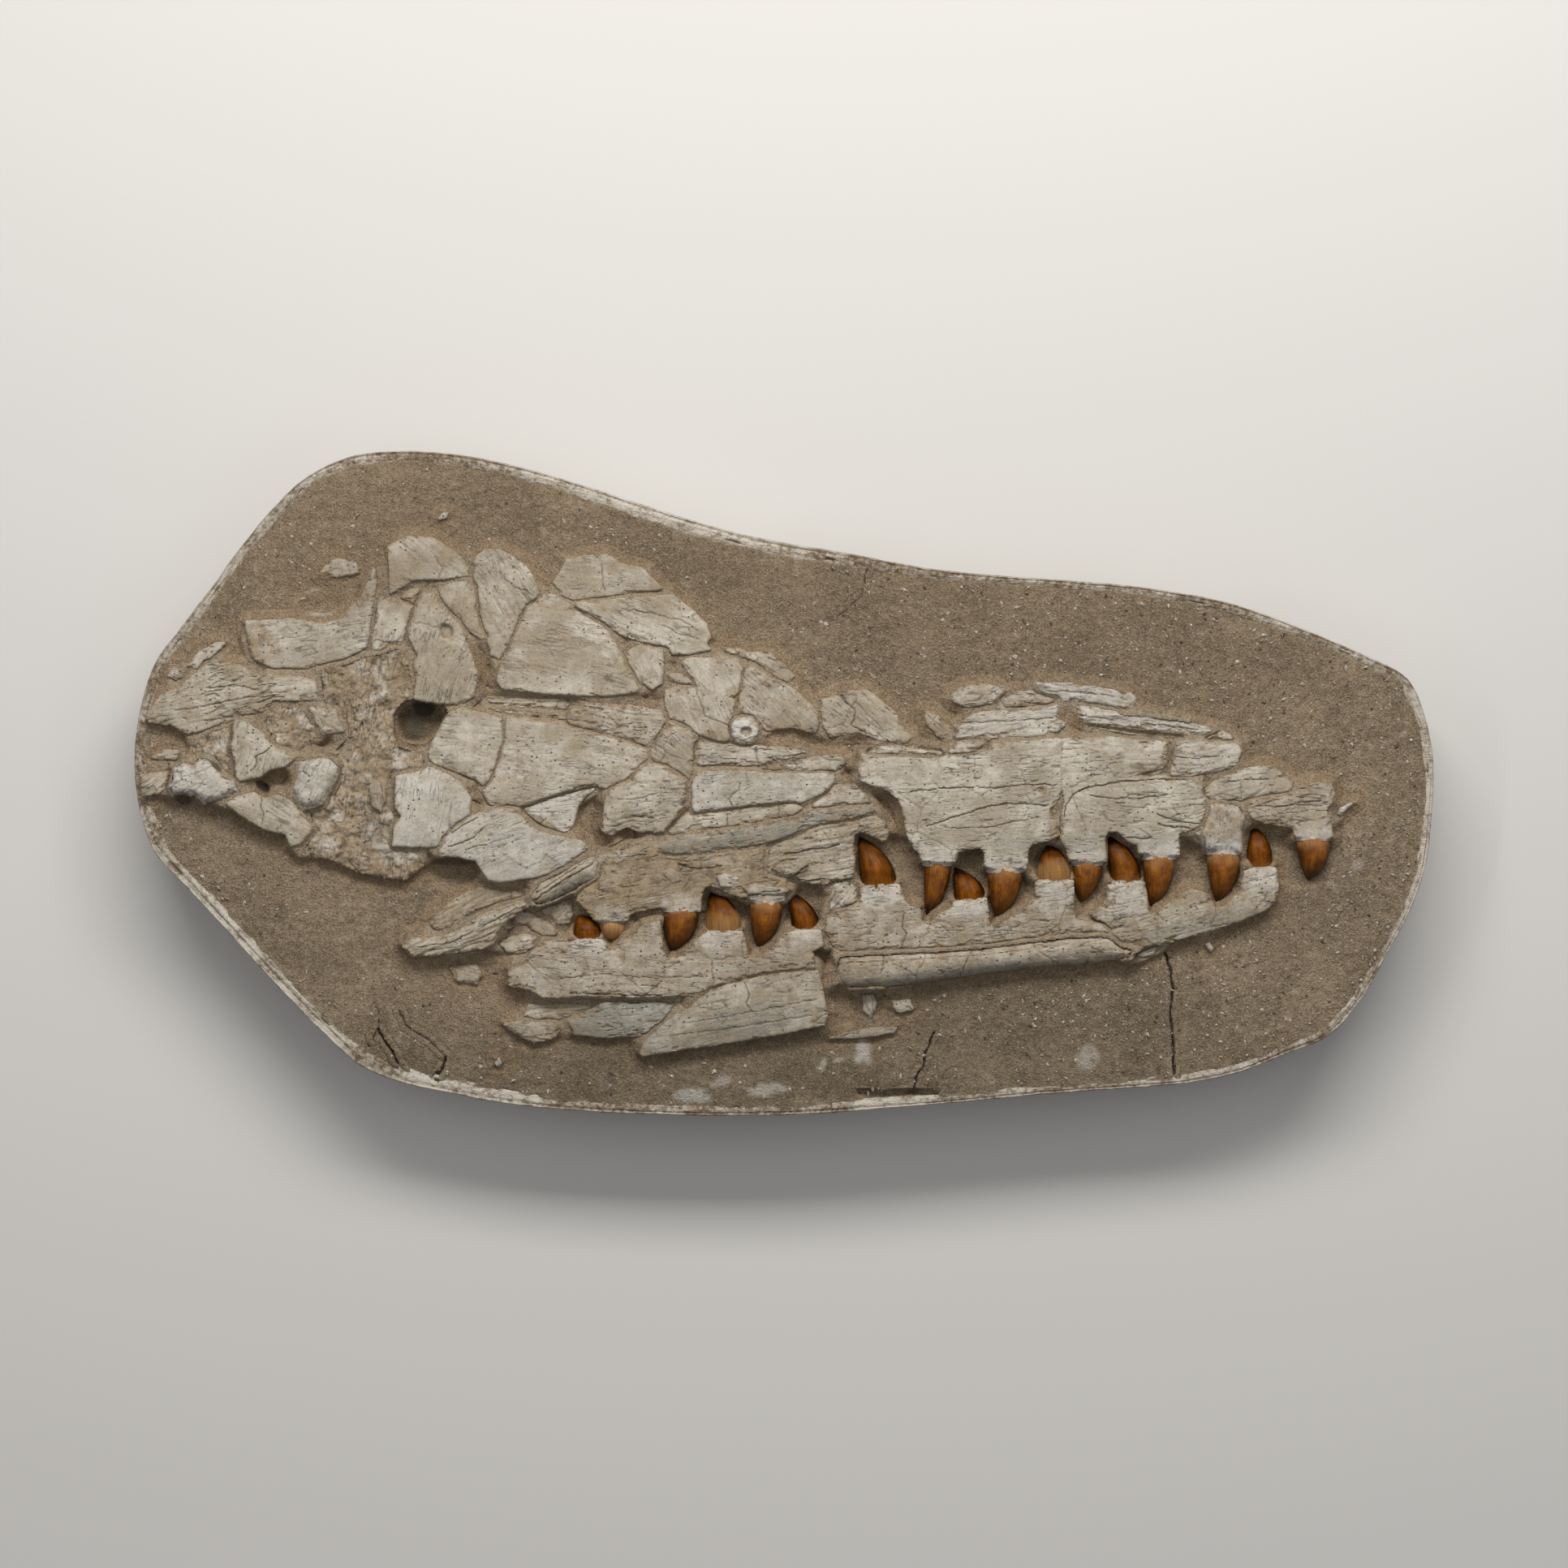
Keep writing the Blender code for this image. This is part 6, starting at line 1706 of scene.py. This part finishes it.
@dataclass
class Grit:
    """Shell grit and small chips, scattered over the rock: six-cornered bits turned at random."""

    count: int = 3200
    seed: int = 77

    def surface(self, ground: RockFace) -> Surface:
        """All bits in one mesh.

        A bit is an octahedron with three half axes of its own, tilted a little and turned about Z,
        with its centre a little above the rock.
        """
        pick = np.random.default_rng(self.seed)
        x, y = pick.uniform(-312, 318, 8 * self.count), pick.uniform(-160, 160, 8 * self.count)
        depth = ground.outline.depth_at(x, y)
        side = ground.bed.beside(x, y)
        mouth = MOUTH.depth_at(x, y)
        hole = FORAMEN.depth_at(x, y)
        crowd = 0.28 + 0.60 * band(x, -60, 160) + 0.4 * ripple(x, y, 60.0, 231)
        open_rock = (depth > 3.0) & (side.near > 4.8) & (mouth < -3) & (hole < -3)
        keep = np.flatnonzero(open_rock & (pick.random(len(x)) < crowd))[:self.count]
        x, y, count = x[keep], y[keep], len(keep)
        size = 0.30 + 0.75 * pick.random(count) ** 3
        reach = np.stack([size * pick.uniform(0.9, 1.9, count), size * pick.uniform(0.5, 1.0, count),
                          np.minimum(size * pick.uniform(0.3, 0.8, count), 0.8)], axis=1)
        corner = np.array([[1, 0, 0], [0, 1, 0], [-1, 0, 0], [0, -1, 0], [0.1, 0, 1], [0, 0.1, -1]], float)
        spots = corner[None] * reach[:, None] * (1 + 0.25 * pick.standard_normal((count, 6, 1)))
        yaw, tilt = pick.uniform(0, 2 * np.pi, count)[:, None], pick.normal(0, 0.35, count)[:, None]
        u = spots[..., 0] * np.cos(tilt) - spots[..., 2] * np.sin(tilt)
        w = spots[..., 0] * np.sin(tilt) + spots[..., 2] * np.cos(tilt)
        v = spots[..., 1]
        level = ground.level(x, y, ground.bed.beside(x, y))
        spots = np.stack([
            x[:, None] + u * np.cos(yaw) - v * np.sin(yaw), y[:, None] + u * np.sin(yaw) + v * np.cos(yaw),
            np.minimum(level[:, None] + 0.12 + w, FACE + 3.0),
        ], axis=-1).reshape(-1, 3)
        sides = np.array([
            [0, 1, 4], [1, 2, 4], [2, 3, 4], [3, 0, 4], [1, 0, 5], [2, 1, 5], [3, 2, 5], [0, 3, 5],
        ])
        triangles = (np.arange(count)[:, None, None] * 6 + sides[None]).reshape(-1, 3)
        kind = pick.random(count)
        marks = np.zeros((count, 4))
        marks[:, Tint.CHALK] = np.where(kind < 0.72, pick.uniform(0.5, 1.0, count), 0)
        marks[:, Tint.STAIN] = np.where(kind > 0.95, 1.0, 0)
        marks[:, Tint.DARK] = np.where((kind > 0.72) & (kind < 0.95), pick.uniform(0.4, 0.8, count), 0)
        marks, none = np.repeat(marks, 6, axis=0), np.empty((0, 4), np.int64)
        return Surface(spots, none, triangles, marks, spots[:, :2])

    def build(self, ground: RockFace, finish: bpy.types.Material) -> None:
        """Makes the bits."""
        piece = self.surface(ground).to_object("shell_grit", finish, 20.0)
        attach(piece, "root")
        LOG.info("grit: %d faces", len(piece.data.polygons))


# ---- Sub-assemblies ----


@dataclass
class Skull:
    """All bones of the skull: each packed bone node is replaced by its dressed piece."""

    nodes: list[str] = field(default_factory=lambda: sorted(LOOKS))

    def lay(self, bed: BoneBed) -> None:
        """Notes every bone in the bed."""
        for node in self.nodes:
            outline = Outline.foot_of(node)
            bed.add(node, outline, top_plane(node, outline), LOOKS[node].grow)

    def build(self, bed: BoneBed) -> None:
        """Builds and dresses every bone."""
        slots = {row["node"]: row["material_slot"] for row in frame["record"]["subparts"]}
        finishes = {}
        for slot, tones in BONE_TONES.items():
            for worn, streaks in ((True, 0.55), (False, 0.2)):
                name = f"fossil_{slot}{'' if worn else '_smooth'}"
                finishes[slot, worn] = BoneFinish(name, streaks=streaks, **tones).make()
        for k, node in enumerate(self.nodes):
            look = LOOKS[node]
            bone = Bone(
                f"{node}_bone", bed.grown(node), BONE_CELL, fray=look.fray, seed=BONE_SEED + SEED_STEP * k,
                look=look, plane=bed.planes[node], crowns=[c for c in CROWNS if c.jaw == node],
            )
            piece = bone.build(finishes[slots[node], look.flaked > 0.2])
            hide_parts(node)
            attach(piece, "root")
        LOG.info("skull: %d bones", len(self.nodes))


@dataclass
class Chips:
    """Small fragments that lie around the bones, on the rock or on a bone."""

    specs: list[ChipSpec] = field(default_factory=lambda: CHIPS)

    def lay(self, bed: BoneBed) -> None:
        """Notes every fragment in the bed."""
        for spec in self.specs:
            plane = (FACE + spec.rise, 0.0, 0.0)
            bed.add(spec.name, Outline.through(spec.outline), plane, spec.look.grow)

    def build(self, bed: BoneBed) -> None:
        """Builds and dresses every fragment."""
        finish = BoneFinish("fossil_bone_chip").make()
        for k, spec in enumerate(self.specs):
            chip = Bone(
                spec.name, bed.grown(spec.name), BONE_CELL, foot=FACE - 4.0, fray=spec.look.fray,
                seed=CHIP_SEED + SEED_STEP * k, look=spec.look, plane=bed.planes[spec.name],
            )
            piece = chip.build(finish)
            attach(piece, "root")
        LOG.info("chips: %d", len(self.specs))


@dataclass
class Teeth:
    """The teeth: crowns swept between a straight rear edge and a bulging front edge.

    Steps round and along a crown, and its root's length as a share of the crown's.
    """

    around: int = 48
    along: int = 60
    root: float = 0.24

    def edges(self, crown: Crown, share: Array) -> tuple[Array, Array]:
        """Rear and front edge of a crown at shares of its length.

        Each edge is a quadratic curve from an end of the base line to the tip. The rear one runs
        almost straight, and the front one first follows the axis and then bends to the tip. Below
        the base line, both run straight back into the jaw.
        """
        rear, front, tip = np.array(crown.rear), np.array(crown.front), np.array(crown.tip)
        axis = tip - crown.middle
        side = np.array([1.0, 0.0])
        t = np.clip(share, 0, 1)[:, None]
        below = np.clip(share, None, 0)[:, None] * axis * np.array([0.3, 1.0])

        def curve(start: Array, bend: Array) -> Array:
            """Quadratic curve from a start over a bend to the tip."""
            return (1 - t) ** 2 * start + 2 * t * (1 - t) * bend + t**2 * tip

        rear_bend = rear + 0.5 * axis * np.array([0.2, 1.0]) - side * crown.bulge * 0.35 * crown.width
        front_bend = front + 0.62 * axis * np.array([0.15, 1.0]) + side * crown.bulge * crown.width
        return curve(rear, rear_bend) + below, curve(front, front_bend) + below

    def surface(self, crown: Crown, seed: int) -> Surface:
        """Crown as a sweep: rings between the two edges, domed above and flat on the bed.

        Args:
            crown: the tooth's sizes.
            seed: picks its unevenness.

        Returns:
            The closed surface.
        """
        share = np.concatenate([[-self.root], np.linspace(-self.root, 0, 8)[1:-1],
                                1 - (1 - np.linspace(0, 1, self.along)) ** 1.35])
        share[-1] = 0.9985
        rear, front = self.edges(crown, share)
        middle, half = 0.5 * (rear + front), 0.5 * (front - rear)
        width = np.linalg.norm(half, axis=1) * 2
        angle = np.linspace(0, 2 * np.pi, self.around, endpoint=False)
        flat = np.cos(angle) * (1 + 0.10 * np.cos(2 * angle)) / 1.10
        lift = np.sin(angle)
        facet = 1 + 0.018 * np.cos(11 * angle)
        x = middle[:, :1] + half[:, :1] * flat * facet
        y = middle[:, 1:] + half[:, 1:] * flat * facet
        tall = TOOTH_RISE * np.minimum(width, crown.width * 1.02)[:, None]
        rise = np.maximum(TOOTH_LIFT + lift * facet, 0.0)
        z = TOOTH_BED + tall * rise + 0.9 * np.sin(np.pi * np.clip(share, 0, 1))[:, None] * (1 - 0.3 * rise)
        z = z + 0.06 * ripple(x, y, 3.0, seed) - 1.6 * np.clip(-share / self.root, 0, 1)[:, None]
        rows, cols = z.shape
        spots = np.stack([x, y, z], axis=-1).reshape(-1, 3)
        ends = np.stack([spots[:cols].mean(axis=0), spots[-cols:].mean(axis=0)])
        ends[1, :2] = crown.tip
        quads, triangles = sleeve_faces(rows, cols)
        run = middle[-1] - middle[0]
        if half[0, 0] * run[1] - half[0, 1] * run[0] > 0:
            quads, triangles = quads[:, ::-1], triangles[:, ::-1]
        spots = np.concatenate([spots, ends])
        t = np.append(np.repeat(share, cols), [-self.root, 1.0])
        turn = np.append(np.tile(angle, rows), [0.0, 0.0])
        tip = crown.dark * 0.9 * band(t, 0.40, 1.0)
        # Painted shade along the flanks, where the crown's surface turns down to the bed
        sides = (0.35 + 0.5 * crown.dark) * np.abs(np.cos(turn)) ** 3 * band(t, -0.02, 0.2)
        amount, reach = (0.9, 0.25) if crown.pale > 0.3 else (0.5, 0.12)
        spread = t + 0.14 * rough(spots[:, 0], spots[:, 1], 5.0, seed + 2, 3)
        worn = amount * (1 - band(spread, crown.pale - 0.2, crown.pale + reach))
        ragged = t + 0.09 * rough(spots[:, 0], spots[:, 1], 4.0, seed + 1, 3)
        root = 1 - band(ragged, 0.0, 0.05)
        marks = np.column_stack([np.clip(t, 0, 1), worn, np.maximum(tip, sides), root])
        length = np.linalg.norm(np.array(crown.tip) - crown.middle)
        girth = turn * crown.width * 0.5
        return Surface(spots, quads, triangles, marks, np.column_stack([t * length, girth]))

    def build(self) -> None:
        """Builds and dresses every tooth."""
        upper = EnamelFinish("tooth_enamel").make()
        lower = EnamelFinish(
            "tooth_enamel_lower", honey=(0.250, 0.080, 0.003), amber=(0.100, 0.028, 0.001),
            umber=(0.016, 0.004, 0.001), ivory=(0.300, 0.165, 0.060), polish=0.34, shine=0.1,
        ).make()
        for k, crown in enumerate(CROWNS):
            finish = upper if crown.tip[1] < crown.middle[1] else lower
            piece = self.surface(crown, TOOTH_SEED + k).to_object(f"tooth_{k + 1:02d}", finish, 60.0)
            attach(piece, "root")
        LOG.info("teeth: %d", len(CROWNS))


@dataclass
class Matrix:
    """The rock round the bones, the fine fill in its gaps, and the grit scattered over it.

    The seams are the X where one length of fill ends and the next begins.
    """

    seams: tuple[float, ...] = (-318.0, -196.0, -98.0, 4.0, 120.0, 300.0)

    def outline(self) -> Outline:
        """Outline of the rock at the slab's face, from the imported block's widest ring."""
        return Outline.through(ring_of("rock_block", BLOCK_RING))

    def build(self, bed: BoneBed) -> None:
        """Builds the rock, its fill in pieces from seam to seam, and the grit."""
        outline, finish = self.outline(), RockFinish().make()
        rock = RockFace("rock_matrix", outline, ROCK_CELL, foot=TRAY_FLOOR + 0.6, fray=0.25, seed=ROCK_SEED,
                        wall_levels=(0.08, 0.4, 0.8), fan_foot=True, bed=bed)
        piece = rock.build(finish)
        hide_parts("rock_block")
        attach(piece, "root")
        LOG.info("rock: %d faces", len(piece.data.polygons))
        marks = [self.seams[0] + FILL_CELL * round((s - self.seams[0]) / FILL_CELL) for s in self.seams]
        for k, span in enumerate(zip(marks, marks[1:])):
            fill = Fill(f"matrix_fill_{k + 1}", outline, FILL_CELL, foot=FACE - 5.0, fray=0.0,
                        seed=ROCK_SEED + 1 + k, wall_levels=(0.5,), ground=rock, span=span)
            piece = fill.build(finish)
            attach(piece, "root")
            LOG.info("%s: %d faces", piece.name, len(piece.data.polygons))
        Grit().build(rock, finish)


@dataclass
class Jacket:
    """The plaster tray: a lumpy side, a flat foot, and a rim that is rubbed down to its layers."""

    around: int = 1150
    side: tuple[Point, ...] = (
        (0.0, 15.0), (1.2, 12.6), (3.0, 10.2), (5.0, 8.0), (7.5, 5.9), (10.5, 4.1), (14.0, 2.6),
        (17.5, 1.6), (21.0, 0.8), (25.0, 0.2), (29.0, 0.0), (33.0, 0.05), (37.0, 0.2), (40.0, 0.3),
        (42.4, 0.5), (44.0, 0.8), (45.0, 1.2),
    )
    rim_steps: int = 11

    def path(self) -> tuple[Array, Array]:
        """The outline at even steps, as a closed smooth curve, and the outward directions."""
        corners = ring_of("plaster_jacket", JACKET_RING)
        steps = np.linalg.norm(np.roll(corners, -1, axis=0) - corners, axis=1)
        run = np.concatenate([[0], np.cumsum(steps)])
        where = np.linspace(0, run[-1], self.around, endpoint=False)
        k = np.searchsorted(run, where, side="right") - 1
        t = ((where - run[k]) / steps[k])[:, None]
        n = len(corners)
        a, b, c, d = (corners[(k + shift) % n] for shift in (-1, 0, 1, 2))
        square, cube = 2 * a - 5 * b + 4 * c - d, 3 * b - a - 3 * c + d
        points = 0.5 * (2 * b + (c - a) * t + square * t**2 + cube * t**3)
        ahead = np.roll(points, -3, axis=0) - np.roll(points, 3, axis=0)
        ahead /= np.linalg.norm(ahead, axis=1)[:, None]
        return points, np.stack([ahead[:, 1], -ahead[:, 0]], axis=1)

    def surface(self, inner: Outline) -> Surface:
        """Profile carried round the outline: foot, side, rim, inner wall and inner floor.

        The side's rings are set inwards by dents, and the rim's rings run level from the side to
        the rock, broken by crumbs and by grooves between the layers.

        Args:
            inner: the rock's outline, which the rim reaches.

        Returns:
            The closed surface.
        """
        points, outward = self.path()
        points = points + outward * 0.3
        x, y = points.T
        depth, _inward = inner.depth(points)
        rim = -depth
        lump = rough(x, y, 30.0, 401, 3)
        rows, grain, tints = [], [], []
        white = np.zeros(len(x))
        for patch in RIM_WHITE:
            white = np.maximum(white, patch.share(x, y) * patch.amount)
        layered = (1 - band(np.hypot((x + 262) / 90, (y + 88) / 90), 0.6, 1.1))

        def ring(inset: Array, level: Array, along: float, earth: Array, pale: Array) -> None:
            """Adds a ring at an inset and a level, with its place in the grain and its tints."""
            places = points - outward * np.reshape(inset, (-1, 1))
            rows.append(np.column_stack([places, level + np.zeros(len(x))]))
            grain.append(along)
            tints.append(np.column_stack([earth + 0 * x, pale + 0 * x, 0 * x, 0 * x]))

        for height, inset in self.side:
            dent = 0.55 + 0.45 * rough(x + 1.3 * height, y - 1.7 * height, 9.0, 402, 4, 0.6)
            dent = (dent + 0.5 * lump) * min(1.0, height / 3.0)
            ring(inset + 0.8 * np.clip(dent, 0, 1.4), height, height, 0.5 * (1 - white), 0.8 * white)
        start = self.side[-1][1] + 0.6
        for share in np.linspace(0, 1, self.rim_steps + 1)[1:]:
            inset = start + (rim - start + 3.0) * share
            crumb = 0.55 * rough(x + 31 * share, y - 17 * share, 3.4, 403, 3, 0.65)
            groove = layered * 0.9 * np.exp(-((share - 0.35) / 0.10) ** 2)
            gap = band(rough(x, y, 16.0, 405, 2), 0.30, 0.5) * 2.4 * np.exp(-((share - 0.62) / 0.10) ** 2)
            level = RIM_TOP - 0.35 + crumb - groove - gap - 0.5 * (share < 0.2) - 1.5 * max(0.0, share - 0.5)
            level = np.minimum(level, RIM_TOP)
            earth = np.clip(0.7 - 1.1 * white + 0.8 * groove + gap, 0, 1)
            ring(inset, level, 46.0 + 6.0 * share, earth, np.clip(white * (1 - groove), 0, 1))
        for height, extra in ((BLOCK_RING, 3.1), (14.0, 3.6), (TRAY_FLOOR, 7.7)):
            ring(rim + extra, height, 78.0 - height, 0.5, 0.0)
        spots = np.concatenate(rows)
        centres = np.array([[0.0, 0.0, 0.0], [0.0, 0.0, TRAY_FLOOR]])
        run = np.arange(self.around) * 1.6
        lines = np.column_stack([np.tile(run, len(rows)), np.repeat(grain, self.around)])
        lines = np.concatenate([lines, np.zeros((2, 2))])
        marks = np.concatenate([*tints, np.zeros((2, 4))])
        faces = sleeve_faces(len(rows), self.around)
        return Surface(np.concatenate([spots, centres]), *faces, marks, lines)

    def build(self, inner: Outline) -> None:
        """Builds and dresses the tray."""
        piece = self.surface(inner).to_object("jacket_tray", PlasterFinish().make(), 60.0)
        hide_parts("plaster_jacket")
        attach(piece, "root")
        LOG.info("jacket: %d faces", len(piece.data.polygons))


# ---- Studio ----


@dataclass
class Studio:
    """A pale floor, soft lights and a camera that looks straight down. Its lengths are metres."""

    aim: Point = (-0.000022, -0.000171)
    distance: float = 2.0
    span: float = 0.7728
    sensor: float = 36.0
    floor_half: float = 4.0
    # Name, place, width and height, power and colour
    lights: tuple[tuple, ...] = (
        ("key_light", (0.05, 1.16, 1.06), (1.7, 0.42), 29.3, (1.0, 0.97, 0.93)),
        ("fill_light", (1.0, -0.8, 1.7), (1.4, 1.4), 2.0, (0.95, 0.97, 1.0)),
        ("top_light", (0.4, 0.6, 2.4), (1.6, 1.6), 4.0, (1.0, 0.99, 0.97)),
        ("left_strip", (-0.8, 0.1, 1.2), (1.1, 0.03), 1.9, (1.0, 0.99, 0.97)),
        ("right_strip", (1.0, 0.1, 1.2), (1.1, 0.03), 0.9, (1.0, 0.99, 0.97)),
    )

    def floor(self) -> None:
        """A wide pale floor under the slab."""
        half = self.floor_half
        corners = [(-half, -half, 0), (half, -half, 0), (half, half, 0), (-half, half, 0)]
        mesh = bpy.data.meshes.new("studio_floor")
        mesh.from_pydata(corners, [], [(0, 1, 2, 3)])
        n = Nodes("studio_paper")
        mesh.materials.append(n.finish((0.62, 0.61, 0.59, 1.0), 0.9, None, 0.0, 0.0))
        made = placed("studio_floor", mesh)

    def light(self, name: str, place: tuple[float, float, float], size: Point, power: float,
              colour: Colour) -> None:
        """An oblong soft light that faces the slab."""
        lamp = bpy.data.lights.new(name, "AREA")
        lamp.shape = "RECTANGLE"
        lamp.size, lamp.size_y = size
        lamp.energy, lamp.color = power, colour
        made = placed(name, lamp)
        made.location = place
        away = np.array(place) - np.array([0.0, 0.0, 0.03])
        flat = math.hypot(away[0], away[1])
        made.rotation_euler = (math.atan2(flat, away[2]), 0.0, math.atan2(away[0], -away[1]))

    def camera(self) -> None:
        """A camera above the slab's middle; its lens frames the span at the slab's face."""
        lens = bpy.data.cameras.new("overhead_camera")
        lens.sensor_width = self.sensor
        lens.lens = self.sensor * self.distance / self.span
        made = placed("overhead_camera", lens)
        made.location = (*self.aim, FACE * MM + self.distance)
        bpy.context.scene.camera = made

    def build(self) -> None:
        """Sets the floor, the lights, the dim surroundings and the camera."""
        self.floor()
        for light in self.lights:
            self.light(*light)
        world = bpy.data.worlds.new("studio_air")
        world.use_nodes = True
        air = world.node_tree.nodes["Background"].inputs
        air["Color"].default_value, air["Strength"].default_value = (0.86, 0.87, 0.90, 1.0), 0.22
        bpy.context.scene.world = world
        bpy.context.scene.view_settings.view_transform = "Standard"
        self.camera()
        LOG.info("studio ready")


def main() -> None:
    """Builds every sub-assembly in order."""
    logging.basicConfig(level=logging.INFO, format="%(name)s: %(message)s")
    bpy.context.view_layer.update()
    Studio().build()
    bed, skull, chips = BoneBed(), Skull(), Chips()
    skull.lay(bed)
    chips.lay(bed)
    skull.build(bed)
    chips.build(bed)
    matrix = Matrix()
    matrix.build(bed)
    Jacket().build(matrix.outline())
    Teeth().build()


if __name__ == "__main__":
    main()
